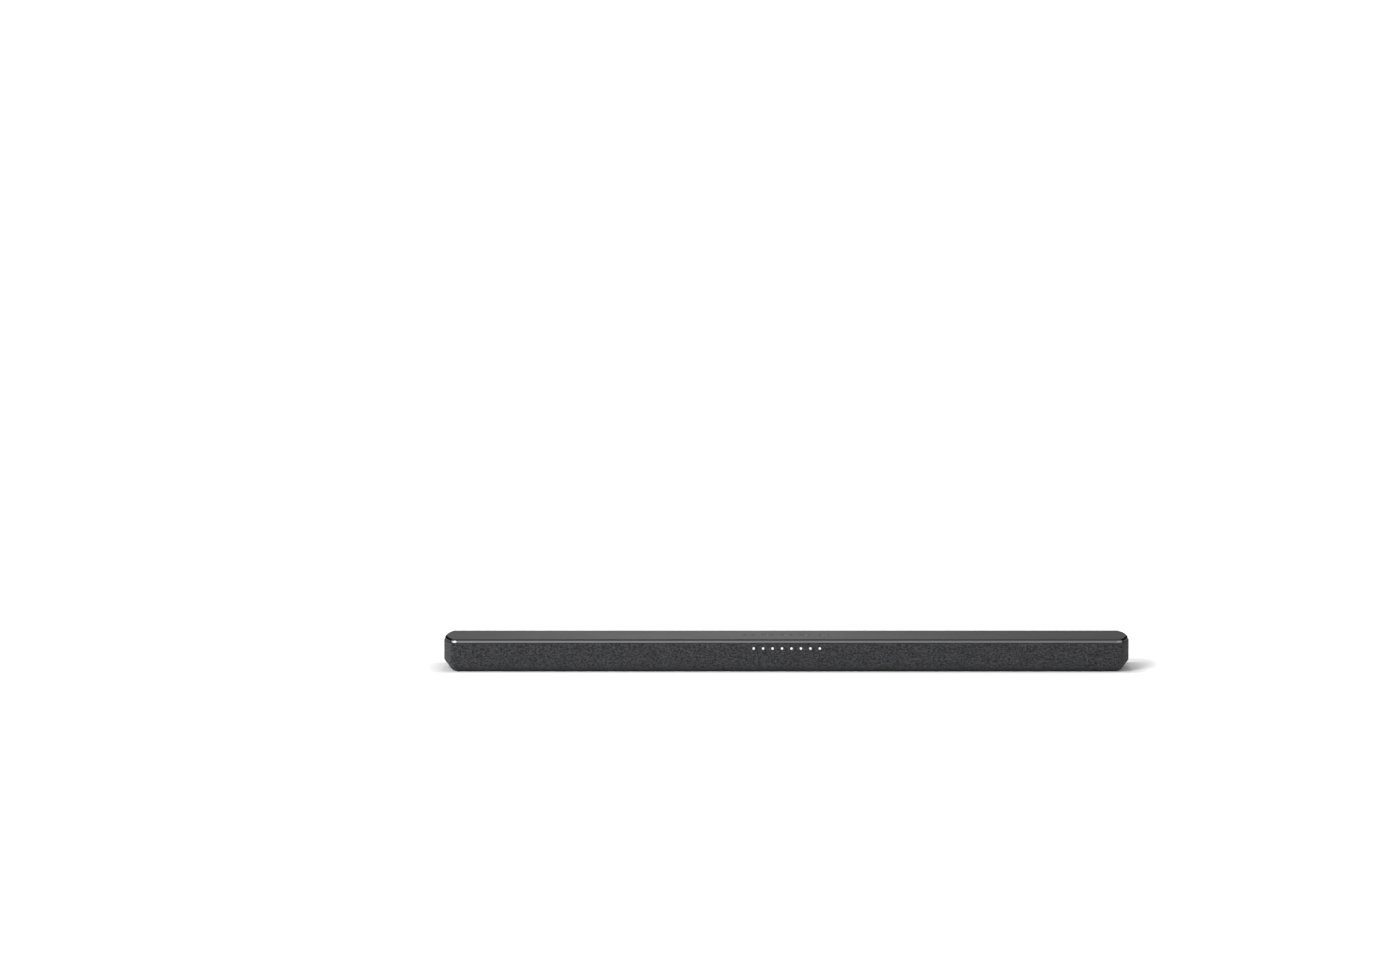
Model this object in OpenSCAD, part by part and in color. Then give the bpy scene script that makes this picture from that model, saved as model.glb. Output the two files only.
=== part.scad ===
// Slim soundbar: a long bar with bowed ends, wrapped in knit cloth, under a bevelled top cover.
// X runs along the bar, the listener is at -Y and Z is up. The origin is under the middle of the
// bar, on the surface that its feet stand on.

/* [Bar] */
// Overall length, over the cloth
bar_l = 800; // [720:5:1000]
// Overall depth, from the front cloth to the rear wall
bar_d = 80; // [76:1:100]
// Height of the body, without its feet
body_h = 37.5; // [37:0.5:44]
// Gap under the body, which the feet stand out by
foot_gap = 1; // [0.6:0.2:3]
// Radius of the bowed ends in plan
end_r = 95; // [80:1:140]
// Radius of the four corners in plan
corner_r = 6; // [4:0.5:8]
// How far the bottom edge rolls in
roll_inset = 6; // [4:0.25:6]
// Height over which the bottom edge rolls in
roll_h = 10; // [8.5:0.1:10]
// How much further than that the ends are cut back at the bottom, in a straight line
end_lean = 1.5; // [0:0.25:2]

/* [Shell] */
// Wall of the housing
wall = 2.5; // [2:0.1:3]
// Thickness of the top cover
cover_t = 2.5; // [2:0.1:3]
// How far the cover's rim stays inside the cloth
rim_inset = 1.2; // [0.8:0.1:1.6]
// Width and height of the bevel on the cover's rim
bevel = 2; // [1:0.1:2.4]
// Height of the upright lip under the bevel
lip_h = 2.3; // [1.6:0.1:3]
// Dark gap between the lip and the cloth
shadow_gap = 0.5; // [0.3:0.1:1]
// Thickness of the cloth
cloth_t = 0.8; // [0.5:0.1:1]
// Width of the hem that the cloth turns in under the bar
hem = 6; // [4:0.5:8]
// How far in front of the rear wall the cloth stops, on the bar's ends
wrap_back = 12; // [10:0.5:16]
// Gap between neighbouring mouldings
seam = 0.3; // [0.2:0.05:0.4]

/* [Grille] */
// Thickness of the grille frame
frame_t = 2.5; // [2:0.1:3]
// Width of a six-sided opening across its flats
cell_w = 5.6; // [4.5:0.1:8]
// Web between two openings
cell_web = 1.3; // [1:0.1:2]
// Radius of the pegs that hold the grille on the baffle
peg_r = 2.5; // [2:0.1:3]

/* [Drivers] */
// From the front of the cloth to the front of the baffle
baffle_set = 11; // [10.5:0.5:13]
// Thickness of the baffle
baffle_t = 3; // [2.5:0.1:4]
// Distance of the woofers from the bar's ends
woofer_end = 105; // [104:0.5:120]
// Length of a woofer's opening
woofer_w = 85; // [76:1:88]
// Height of a woofer's opening
woofer_h = 21; // [20:0.5:22]
// Width of the surround's roll
roll_w = 2.5; // [2:0.1:3]
// Radius of a woofer's voice coil former
coil_r = 6.5; // [6:0.1:7]
// Distance of the tweeters from the bar's ends
tweeter_end = 38; // [36:0.5:39]
// Radius of a tweeter's dome
dome_r = 6.5; // [6:0.1:7]

/* [Keys and lights] */
// Radius of a key
key_r = 6.2; // [5:0.1:7]
// Distance between two keys
key_pitch = 22; // [20:0.5:24]
// How far a key can be pressed
key_travel = 0.5; // [0.3:0.1:0.6]
// Number of status lights
light_count = 8; // [4:1:10]
// Distance between two status lights
light_pitch = 11; // [8:0.5:11]
// Radius of a light pipe
light_r = 1.3; // [1:0.1:1.6]
// From the top of the cloth down to the row of lights
light_drop = 5.8; // [5:0.1:8]

/* [Rear] */
// Width of the connector bay
bay_w = 128; // [120:1:132]
// Height of the connector bay
bay_h = 22; // [20:0.5:22]
// Depth of the connector bay
bay_deep = 12; // [10:0.5:13]
// Radius of the headphone-type aux jack's bore
aux_r = 1.8; // [1.75:0.05:1.85]
// Distance of the wall hangers from the bar's ends
hanger_end = 120; // [100:1:140]
// Radius of a keyhole's entry
entry_r = 4.75; // [4:0.05:5]
// Half the width of a keyhole's slot
slot_r = 2.3; // [2:0.1:2.6]

/* [Hidden] */
$fn = 48;

// Heights
top_z = foot_gap + body_h;
cover_z = top_z - cover_t;
lip_z = top_z - bevel - lip_h;
cloth_z = lip_z - shadow_gap;
floor_z = foot_gap + wall;
roll_z = foot_gap + roll_h;
roll_r = (roll_h * roll_h + roll_inset * roll_inset) / (2 * roll_inset);

// Insets from the outside of the cloth, one skin behind the next
frame_in = cloth_t + frame_t;
box_out = frame_in + seam;
box_in = box_out + wall;
hem_in = roll_inset + hem;
base_out = hem_in + seam;
base_in = base_out + wall;
ledge_t = 2;
ledge_z = foot_gap + frame_in + seam;
ledge_top = ledge_z + ledge_t;
rear_y = bar_d / 2;
wrap_y = rear_y - wrap_back;
baffle_y = -bar_d / 2 + baffle_set;
driver_z = (ledge_top + cover_z) / 2;
board_t = 1.6;
margin = 1;

// Places along the bar: the drivers keep to its ends, and the electronics to its middle
woofer_x = bar_l / 2 - woofer_end;
tweeter_x = bar_l / 2 - tweeter_end;
hanger_x = bar_l / 2 - hanger_end;
chamber_x = woofer_x - woofer_w / 2 - 17.5;

// ---- Plan of the bar ---------------------------------------------------------------------------

corner_steps = 8;
bow_steps = 16;
roll_steps = 6;

function arc(c, r, a0, a1, n) =
  [for (k = [0 : n]) let (a = a0 + (a1 - a0) * k / n) c + r * [cos(a), sin(a)]];

// The bar seen from above, a distance i inside its outer line: straight sides, bowed ends, round corners.
// The ends are moved in by drawn
function outline(i, drawn = 0) =
  let (
    r = end_r - i,
    half = bar_d / 2 - i,
    c = max(corner_r - i, 0.4),
    bow = [bar_l / 2 - end_r - drawn, 0],
    reach = sqrt((r - c) * (r - c) - (half - c) * (half - c)),
    a = asin((half - c) / (r - c)),
    bows = arc(bow, r, -a, a, bow_steps),
    right = concat(
      arc(bow + [reach, c - half], c, -90, -a, corner_steps),
      [for (k = [1 : bow_steps - 1]) bows[k]],
      arc(bow + [reach, half - c], c, a, 90, corner_steps)
    )
  )
  concat(right, -right);

// Where the skin at inset i lies at height z: it rolls in on an arc below roll_z
function rolled(i, z) = z >= roll_z ? i : roll_r - sqrt(pow(roll_r - i, 2) - pow(roll_z - z, 2));

// How far the ends are moved in at height z, which turns their arc into a straight cut
function lean(z) = z >= roll_z ? 0 : (roll_inset + end_lean) * (roll_z - z) / roll_h - rolled(0, z);

// One closed body through a list of outlines, each given as [inset, height]
module loft(rings) {
  n = len(outline(0));
  last = (len(rings) - 1) * n;
  polyhedron(
    points = [for (r = rings) for (p = outline(r[0], lean(r[1]))) [p.x, p.y, r[1]]],
    faces = concat(
      [[for (k = [0 : n - 1]) k]],
      [for (j = [0 : len(rings) - 2], k = [0 : n - 1])
        let (a = j * n + k, b = j * n + (k + 1) % n) each [[a, a + n, b], [b, a + n, b + n]]],
      [[for (k = [n - 1 : -1 : 0]) last + k]]
    )
  );
}

// The bar's body at inset i from height z0 to z1, with the rolled bottom edge
module body(i, z0, z1) {
  swing = asin((roll_z - z0) / (roll_r - i));
  loft(concat(
    [for (k = [roll_steps : -1 : 0])
      let (z = roll_z - (roll_r - i) * sin(swing * k / roll_steps)) [rolled(i, z), z]],
    [[i, z1]]
  ));
}

// A straight-sided body with the same plan
module prism(i, z0, z1) {
  translate([0, 0, z0]) linear_extrude(z1 - z0) polygon(outline(i));
}

// Everything behind, in front of or above a plane
module behind(y) { translate([-bar_l, y, -margin]) cube([2 * bar_l, bar_d, 2 * body_h]); }
module ahead(y) { translate([-bar_l, y - bar_d, -margin]) cube([2 * bar_l, bar_d, 2 * body_h]); }

// ---- Small shared shapes -----------------------------------------------------------------------

module block(x0, x1, y0, y1, z0, z1) { translate([x0, y0, z0]) cube([x1 - x0, y1 - y0, z1 - z0]); }
module post(p, r, z0, z1) { translate([p.x, p.y, z0]) cylinder(r = r, h = z1 - z0); }
module tube(r, bore, h) {
  difference() {
    cylinder(r = r, h = h);
    translate([0, 0, -margin]) cylinder(r = bore, h = h + 2 * margin);
  }
}
module racetrack(w, h) {
  square([w - h, h], center = true);
  for (s = [-1, 1]) translate([s * (w - h) / 2, 0]) circle(d = h);
}
// Sweeps a profile, drawn as [distance from the end centre, height], round a racetrack
module racetrack_sweep(span) {
  for (turn = [0, 180]) rotate(turn) {
    translate([span / 2, 0, 0]) rotate(-90) rotate_extrude(angle = 180) children();
    translate([-span / 2, 0, 0]) rotate([90, 0, 90]) linear_extrude(span) children();
  }
}
// Puts a shape drawn along +Z on the baffle's front face, pointing at the listener
module on_baffle(x, z = driver_z) { translate([x, baffle_y, z]) rotate([90, 0, 0]) children(); }

// A lead of radius r through the points of its route, with eight sides
lead_sides = 8;
function unit(v) = v / norm(v);
function heading(p, k) =
  unit((k < len(p) - 1 ? unit(p[k + 1] - p[k]) : 0 * p[k]) + (k > 0 ? unit(p[k] - p[k - 1]) : 0 * p[k]));
module lead(p, r) {
  n = lead_sides;
  up = [0, 0.6, 0.8];
  polyhedron(
    points = [for (k = [0 : len(p) - 1])
      let (d = heading(p, k), u = unit(cross(d, up)), v = cross(d, u))
      for (s = [0 : n - 1]) p[k] + r * (u * cos(360 * s / n) + v * sin(360 * s / n))],
    faces = concat(
      [[for (s = [n - 1 : -1 : 0]) s]],
      [for (k = [0 : len(p) - 2], s = [0 : n - 1])
        let (a = k * n + s, b = k * n + (s + 1) % n) each [[a, b, a + n], [b, b + n, a + n]]],
      [[for (s = [0 : n - 1]) (len(p) - 1) * n + s]]
    )
  );
}

// ---- Places of the boards, screws and columns --------------------------------------------------

// The corners of a board, moved in by a distance d
function inner_corners(x, y, d) = [for (a = [x[0] + d, x[1] - d], b = [y[0] + d, y[1] - d]) [a, b]];

post_r = 2.8;
pilot_r = 1.1;
bay_z = ledge_top + 2.4;
bay_floor_y = rear_y - bay_deep;
main_z = ledge_top + 2.9;
main_x = [-bay_w / 2 - 6, bay_w / 2 + 6];
main_y = [baffle_y + 10, bay_floor_y - 6];
ribbon_plug_y = main_y[0] + 3;
main_posts = [for (s = [-1, 1], y = [main_y[0] + 4, main_y[1] - 8]) [s * (main_x[1] - 5), y]];
power_z = main_z - 1;
power_x = [main_x[1] + 16, chamber_x - 27];
power_y = [baffle_y + 9, bay_floor_y - 6];
power_posts = inner_corners(power_x, power_y, 5);
wireless_z = main_z - 1;
wireless_x = [45 - chamber_x, 95 - chamber_x];
wireless_y = [baffle_y + 9, baffle_y + 41];
wireless_posts = inner_corners(wireless_x, wireless_y, 4);
screw_r = 1.5;
screw_fit = 0.05;
head_r = 2.9;
head_h = 2;
head_seat = 5;
column_r = 4.2;
column_top = 24;
boss_r = 3.4;
screw_l = 26;
column_rows = [rear_y - 12, baffle_y + 12];
right_columns = concat(
  [[bar_l / 2 - 24, 2]],
  [for (x = [chamber_x - 13, main_x[1] + 8], y = column_rows) [x, y]]
);
columns = [for (s = [-1, 1], p = right_columns) [s * p.x, p.y]];

// ---- Housing -----------------------------------------------------------------------------------

partition_t = 2;
bulkhead_t = 1.5;
lead_y = baffle_y + 21;
lead_z = ledge_top - 0.1;
supply_y = lead_y + 8;
lead_r = 1.2;
foot_at = [bar_l / 2 - 70, bar_d / 2 - 20];
foot_size = [34, 10];
foot_seat = 1.2;
inlet_x = power_x[0] + 64;
inlet_z = bay_z + 12;
inlet_size = [23, 13];
hanger_z = bay_z + 13;
hanger_size = [42, 20];
hanger_t = 1.5;
well_size = [15, 18];
well_deep = 6;

module housing_walls() {
  difference() {
    union() {
      prism(base_out, foot_gap, ledge_top);
      body(box_out, ledge_z, cover_z);
      intersection() { body(0, foot_gap, cloth_z); behind(wrap_y + seam); }
    }
    prism(base_in, floor_z, top_z);
    body(box_in, ledge_top, top_z);
    intersection() { body(wall, floor_z, cloth_z - wall); behind(wrap_y + seam + wall); }
    intersection() { ahead(baffle_y + baffle_t); block(-bar_l, bar_l, -bar_d, 0, ledge_top, top_z); }
  }
}

module partition(x) {
  difference() {
    block(x - partition_t / 2, x + partition_t / 2, baffle_y + baffle_t, rear_y - wall, floor_z, cover_z);
    translate([x, lead_y, lead_z]) rotate([0, 90, 0])
      cylinder(r = lead_r + seam, h = 2 * partition_t, center = true);
    block(x - wall, x + wall, rear_y - box_in, rear_y, cloth_z - wall, top_z);
  }
}

// Closes the electronics off behind the baffle
module bulkhead() {
  y = baffle_y + baffle_t + seam;
  difference() {
    block(-chamber_x, chamber_x, y, y + bulkhead_t, floor_z, cover_z);
    ribbon_slot(y, y + bulkhead_t);
  }
}

module hanger_place(right) { translate([right ? hanger_x : -hanger_x, rear_y, hanger_z]) children(); }

module rear_housing() {
  color("#2a2a2c") difference() {
    union() {
      housing_walls();
      for (s = [-1, 1]) partition(s * chamber_x);
      bulkhead();
      for (p = columns) post(p, column_r, foot_gap + wall / 2, column_top);
      block(-bay_w / 2 - wall, bay_w / 2 + wall, bay_floor_y, rear_y - wall / 2,
        bay_z - wall, bay_z + bay_h + wall);
      for (s = [-1, 1]) translate([s * hanger_x, rear_y, hanger_z])
        block(-hanger_size.x / 2, hanger_size.x / 2, -hanger_t - well_deep - wall, -wall / 2,
          -hanger_size.y / 2, hanger_size.y / 2);
      for (p = main_posts) post(p, post_r, foot_gap + wall / 2, main_z);
      for (p = power_posts) post(p, post_r, foot_gap + wall / 2, power_z);
      for (p = wireless_posts) post(p, post_r, foot_gap + wall / 2, wireless_z);
    }
    for (p = columns) {
      post(p, head_r + seam, foot_gap - margin, foot_gap + head_seat);
      post(p, screw_r + seam, foot_gap, column_top + margin);
    }
    for (p = concat(main_posts, power_posts, wireless_posts)) post(p, pilot_r, floor_z, cover_z);
    for (sx = [-1, 1], sy = [-1, 1]) translate([sx * foot_at.x, sy * foot_at.y, foot_gap - margin])
      linear_extrude(foot_seat + margin) racetrack(foot_size.x, foot_size.y);
    block(-bay_w / 2, bay_w / 2, bay_floor_y - margin, rear_y + margin, bay_z, bay_z + bay_h);
    translate([inlet_x, rear_y, inlet_z]) block(-inlet_size.x / 2 - seam, inlet_size.x / 2 + seam,
      -2 * wall, margin, -inlet_size.y / 2 - seam, inlet_size.y / 2 + seam);
    for (s = [-1, 1]) translate([s * hanger_x, rear_y, hanger_z]) {
      block(-hanger_size.x / 2, hanger_size.x / 2, -hanger_t, margin,
        -hanger_size.y / 2, hanger_size.y / 2);
      block(-well_size.x / 2, well_size.x / 2, -hanger_t - well_deep, 0,
        -well_size.y / 2, well_size.y / 2);
      for (t = [-1, 1]) translate([t * hanger_screw_x, 0, 0]) rotate([90, 0, 0])
        cylinder(r = pilot_r, h = hanger_t + well_deep);
    }
  }
}

module foot(sx, sy) {
  color("#1b1b1b") translate([sx * foot_at.x, sy * foot_at.y, 0])
    linear_extrude(foot_gap + foot_seat) racetrack(foot_size.x - 2 * seam, foot_size.y - 2 * seam);
}

// A steel plate flush with the rear wall. A screw's head goes in at the round entry, and the bar drops
// on its shank
hanger_screw_x = 15.5;
entry_drop = 4;
slot_rise = 5.5;
module wall_hanger(right) {
  color("#9a9da0") hanger_place(right) rotate([90, 0, 0]) difference() {
    translate([0, 0, 0.05]) linear_extrude(hanger_t - 0.05)
      square([hanger_size.x - 2 * seam, hanger_size.y - 2 * seam], center = true);
    translate([0, -entry_drop, -margin]) cylinder(r = entry_r, h = 2 * hanger_t + margin);
    translate([-slot_r, -entry_drop, -margin])
      cube([2 * slot_r, entry_drop + slot_rise, 2 * hanger_t + margin]);
    translate([0, slot_rise, -margin]) cylinder(r = slot_r, h = 2 * hanger_t + margin);
    for (t = [-1, 1]) translate([t * hanger_screw_x, 0, -margin])
      cylinder(r = pilot_r + seam, h = 2 * hanger_t + margin);
  }
}

// ---- Top cover ---------------------------------------------------------------------------------

key_names = ["minus", "plus", "power", "source", "play"];
key_gap = 0.3;
key_board_z = cover_z - 7;
key_board_end = 25;
plug_room = 4;
key_board_size = [(len(key_names) - 1) * key_pitch + 2 * key_board_end, -2 * (ribbon_plug_y + plug_room)];
key_post = [key_board_size.x / 2 - 6, key_board_size.y / 2 - 3.5];
key_posts = [for (s = [-1, 1], t = [-1, 1]) [s * key_post.x, t * key_post.y]];
rib_y = rear_y - 18;
rib_h = 1.6;
rib_t = 1.6;
rib_l = chamber_x - main_x[1] - 30;
module top_cover() {
  color("#6a6a6d") difference() {
    union() {
      difference() {
        loft([[rim_inset, lip_z], [rim_inset, top_z - bevel], [rim_inset + bevel, top_z]]);
        prism(frame_in, lip_z - margin, cover_z);
      }
      for (p = columns) post(p, boss_r, column_top, cover_z + margin);
      for (p = key_posts) post(p, post_r, key_board_z + board_t, cover_z + margin);
      for (sx = [-1, 1], sy = [-1, 1])
        translate([sx * (chamber_x + main_x[1] + 8) / 2, sy * rib_y, cover_z - rib_h + margin / 2])
          cube([rib_l, rib_t, rib_h + margin], center = true);
    }
    for (p = columns) post(p, screw_r + screw_fit, column_top - margin, cover_z - 1);
    for (p = key_posts) post(p, pilot_r, key_board_z, cover_z - 1);
    for (k = [0 : len(key_names) - 1])
      post([key_x(k), 0], key_r + key_gap, cover_z - margin, top_z + margin);
  }
}

// ---- Grille ------------------------------------------------------------------------------------

lattice_x = bar_l / 2 - 25;
lattice_z = [roll_z + 1, cloth_z - 3];
light_z = cloth_z - light_drop;
island = [light_count * light_pitch + 8, 8];
peg_x = [20, chamber_x - 115, chamber_x - 35, bar_l / 2 - 21];
peg_z = driver_z - 0.3;
peg_root = 1.4;
sensor_x = island.x / 2 + 12;

// Six-sided openings in staggered rows, as many as the window holds, with none where a peg or the
// lights stand
module lattice() {
  pitch = cell_w + cell_web;
  row = pitch * sin(60);
  tall = cell_w / cos(30);
  rows = floor((lattice_z[1] - lattice_z[0] - tall) / row) + 1;
  middle = (lattice_z[0] + lattice_z[1]) / 2;
  count = floor((lattice_x - pitch) / pitch);
  for (j = [0 : rows - 1], k = [-count : count]) {
    x = (k + (j % 2) / 2) * pitch;
    z = middle + (j - (rows - 1) / 2) * row;
    lit = abs(x) < island.x / 2 + cell_w / 2 && abs(z - light_z) < island.y / 2 + tall / 2;
    pegs = [for (p = peg_x) if (norm([abs(x) - p, z - peg_z]) < cell_w / 2 + peg_r + peg_root) p];
    if (!lit && len(pegs) == 0) translate([x, z]) rotate(30) circle(r = tall / 2, $fn = 6);
  }
}

module grille_frame() {
  color("#1f1f21") difference() {
    union() {
      difference() {
        body(cloth_t, foot_gap + cloth_t, cloth_z - cloth_t);
        body(frame_in, foot_gap + frame_in, top_z);
        prism(hem_in, -margin, top_z);
        behind(wrap_y);
        block(-lattice_x, lattice_x, -bar_d, baffle_y, lattice_z[0], lattice_z[1]);
      }
      difference() {
        translate([0, -bar_d / 2 + frame_in, 0]) rotate([90, 0, 0]) linear_extrude(frame_t) difference() {
          translate([-lattice_x, lattice_z[0]]) square([2 * lattice_x, lattice_z[1] - lattice_z[0]]);
          lattice();
        }
      }
      for (s = [-1, 1], x = peg_x) on_baffle(s * x, peg_z)
        translate([0, 0, 1 - baffle_t]) cylinder(r = peg_r, h = baffle_set + baffle_t - frame_in);
    }
    for (k = [0 : light_count - 1]) light_place(k) translate([0, 0, baffle_set - frame_in - margin])
      cylinder(r = light_r + seam, h = frame_in + 2 * margin);
  }
}

module grille_cloth() {
  color("#3f3f42") difference() {
    body(0, foot_gap, cloth_z);
    body(cloth_t, foot_gap + cloth_t, cloth_z - cloth_t);
    prism(hem_in, -margin, roll_z);
    prism(frame_in, roll_z, top_z);
    behind(wrap_y);
  }
}

// ---- Baffle and drivers ------------------------------------------------------------------------

flange_t = 1.5;
flange_w = 2.5;
woofer_size = [woofer_w + 14, woofer_h + 2 * flange_w + 2];
basket_t = 1.2;
basket_l = 6;
gap_r = coil_r + 0.7;
motor_r = 11.5;
motor_l = 9;
motor_z = -basket_l - basket_t;
woofer_screws = [for (s = [-1, 1], t = [-1, 1]) [s * (woofer_size.x / 2 - 4), t * (woofer_size.y / 2 - 4)]];
face_r = 13;
cup_r = 9.5;
cup_l = 11;
tweeter_screws = [for (s = [-1, 1]) [s * 8.2, s * 8.2]];
driver_pilot = 1.3;

// The slot that the lights' ribbon passes through
module ribbon_slot(y0, y1) {
  block(led_ribbon_x - ribbon_w / 2 - 1, led_ribbon_x + ribbon_w / 2 + 1,
    y0 - margin, y1 + margin, slot_z - 1, slot_z + 1);
}

module front_baffle() {
  color("#252527") difference() {
    intersection() {
      body(box_out, ledge_top, cover_z);
      behind(baffle_y);
      ahead(baffle_y + baffle_t);
    }
    for (s = [-1, 1]) {
      on_baffle(s * woofer_x) translate([0, 0, -baffle_t - margin]) {
        linear_extrude(baffle_t + 2 * margin)
          racetrack(woofer_w + 2 * basket_t + 2 * seam, woofer_h + 2 * basket_t + 2 * seam);
        for (p = woofer_screws) translate(p) cylinder(r = driver_pilot, h = baffle_t + 2 * margin);
      }
      on_baffle(s * tweeter_x) translate([0, 0, -baffle_t - margin]) {
        cylinder(r = cup_r + seam, h = baffle_t + 2 * margin);
        for (p = tweeter_screws) translate(p) cylinder(r = driver_pilot, h = baffle_t + 2 * margin);
      }
      for (x = peg_x) on_baffle(s * x, peg_z) translate([0, 0, -baffle_t - margin])
        cylinder(r = peg_r + screw_fit, h = baffle_t + 2 * margin);
    }
    ribbon_slot(baffle_y, baffle_y + baffle_t);
  }
}

// Drivers are drawn along +Z with the baffle's front face at zero, and turned to face the listener
module woofer_place(right) { on_baffle(right ? woofer_x : -woofer_x) children(); }

module woofer_frame(right) {
  color("#303033") woofer_place(right) difference() {
    union() {
      linear_extrude(flange_t) square(woofer_size, center = true);
      translate([0, 0, motor_z]) linear_extrude(-motor_z)
        racetrack(woofer_w + 2 * basket_t, woofer_h + 2 * basket_t);
    }
    translate([0, 0, -basket_l]) linear_extrude(basket_l + 2 * flange_t) racetrack(woofer_w, woofer_h);
    translate([0, 0, motor_z - margin]) cylinder(r = gap_r, h = basket_l);
    for (s = [-1, 1]) for (x = [20, 31]) translate([s * x, 0, motor_z - margin])
      linear_extrude(basket_l) racetrack(12, 7);
    for (p = woofer_screws) translate(concat(p, -margin)) cylinder(r = screw_r, h = 3 * flange_t);
  }
}

module woofer_motor(right) {
  pole_r = coil_r - 0.6;
  plate = 1.5;
  color("#55585c") woofer_place(right) translate([0, 0, motor_z - motor_l]) difference() {
    cylinder(r = motor_r, h = motor_l);
    translate([0, 0, plate]) tube(gap_r, pole_r, motor_l);
  }
}

module woofer_coil(right) {
  former_t = 0.3;
  winding = 0.35;
  start = motor_z - 5;
  color("#b5733a") woofer_place(right) translate([0, 0, start]) {
    tube(coil_r, coil_r - former_t, neck_z + cone_t - start);
    tube(coil_r + winding, coil_r - former_t / 2, 4);
  }
}

cone_t = 0.6;
cone_w = woofer_w - 2 * roll_w;
cone_h = woofer_h - 2 * roll_w;
neck_z = motor_z + 3;
module cone_solid(lift) {
  hull() {
    translate([0, 0, flange_t - cone_t + lift]) linear_extrude(cone_t) racetrack(cone_w, cone_h, $fn = 32);
    translate([0, 0, neck_z + lift]) cylinder(r = coil_r + cone_t, h = cone_t / 2, $fn = 32);
  }
}
module woofer_cone(right) {
  cap_r = 18;
  cap_z = neck_z + cone_t + 0.4 - sqrt(cap_r * cap_r - coil_r * coil_r);
  color("#3a3a3d") woofer_place(right) union() {
    difference() {
      intersection() {
        cone_solid(0);
        translate([0, 0, motor_z]) linear_extrude(flange_t - motor_z)
          square([cone_w + 2, cone_h + 2], center = true);
      }
      cone_solid(cone_t);
      translate([0, 0, motor_z]) cylinder(r = coil_r + screw_fit, h = basket_l);
    }
    translate([0, 0, cap_z]) intersection() {
      difference() {
        sphere(r = cap_r);
        sphere(r = cap_r - cone_t / 2);
      }
      cylinder(r = coil_r + cone_t, h = 2 * cap_r);
    }
  }
}

// A half-round roll with a flat land on either side
module woofer_surround(right) {
  skin = 0.4;
  land = 1;
  outer = woofer_h / 2;
  middle = outer - roll_w / 2;
  color("#202022") woofer_place(right) translate([0, 0, flange_t]) racetrack_sweep(woofer_w - woofer_h) {
    difference() {
      translate([middle, 0]) circle(r = roll_w / 2 + skin / 2);
      translate([middle, 0]) circle(r = roll_w / 2 - skin / 2);
      translate([0, -woofer_h]) square(woofer_h);
    }
    translate([outer, 0]) square([land, skin]);
    translate([outer - roll_w - land, 0]) square([land, skin]);
  }
}

// A corrugated disc that centres the coil in the motor's gap
module woofer_spider(right) {
  skin = 0.3;
  inner = coil_r + screw_fit;
  outer = woofer_h / 2 - screw_fit;
  z = -basket_l;
  bends = 3;
  pitch = (outer - inner) / (2 * bends);
  color("#c9a45c") woofer_place(right) translate([0, 0, z]) rotate_extrude() polygon(concat(
    [for (k = [0 : 2 * bends]) [inner + k * pitch, (k % 2) * 0.8]],
    [for (k = [2 * bends : -1 : 0]) [inner + k * pitch, (k % 2) * 0.8 + skin]]
  ));
}

well_r = dome_r + 1.3;
module tweeter_body(right) {
  color("#2b2b2e") on_baffle(right ? tweeter_x : -tweeter_x) difference() {
    union() {
      cylinder(r = face_r, h = flange_t);
      translate([0, 0, -cup_l]) cylinder(r = cup_r, h = cup_l);
    }
    translate([0, 0, -flange_t]) cylinder(r = well_r, h = 3 * flange_t);
    translate([0, 0, -cup_l + 3]) tube(dome_r + 0.4, dome_r - 0.9, cup_l);
    for (p = tweeter_screws) translate(concat(p, -margin))
      cylinder(r = driver_pilot + seam, h = 3 * flange_t);
  }
}

// A silk dome with its edge ring and coil former
module tweeter_dome(right) {
  skin = 0.3;
  ball_r = 8;
  drop = sqrt(ball_r * ball_r - dome_r * dome_r);
  color("#48484c") on_baffle(right ? tweeter_x : -tweeter_x) translate([0, 0, -0.6]) union() {
    translate([0, 0, -drop]) intersection() {
      difference() {
        sphere(r = ball_r);
        sphere(r = ball_r - skin);
      }
      translate([0, 0, drop]) cylinder(r = dome_r, h = ball_r);
    }
    tube(dome_r + 0.9, dome_r - skin, skin);
    translate([0, 0, -4]) tube(dome_r, dome_r - skin, 4 + skin / 2);
  }
}

// ---- Keys --------------------------------------------------------------------------------------

flange_gap = 0.05;
key_flange_r = key_r + 1.6;
key_flange_t = 1;
key_flange_z = cover_z - flange_gap - key_flange_t;
switch_h = 3.1;
plunger_r = 1.7;
plunger_up = 0.8;
plunger_in = 1.2;
plunger_z = key_board_z + board_t + switch_h;
function key_x(k) = (k - 2) * key_pitch;

module key(k) {
  color("#6a6a6d") translate([key_x(k), 0, 0]) {
    translate([0, 0, key_flange_z]) cylinder(r = key_r, h = top_z - key_flange_z);
    translate([0, 0, key_flange_z]) cylinder(r = key_flange_r, h = key_flange_t);
    translate([0, 0, plunger_z + plunger_up])
      cylinder(r = plunger_r + 0.5, h = key_flange_z + key_flange_t - plunger_z - plunger_up);
  }
}

module plunger(k) {
  color("#141414") translate([key_x(k), 0, plunger_z - plunger_in])
    cylinder(r = plunger_r, h = plunger_in + plunger_up);
}

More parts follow.
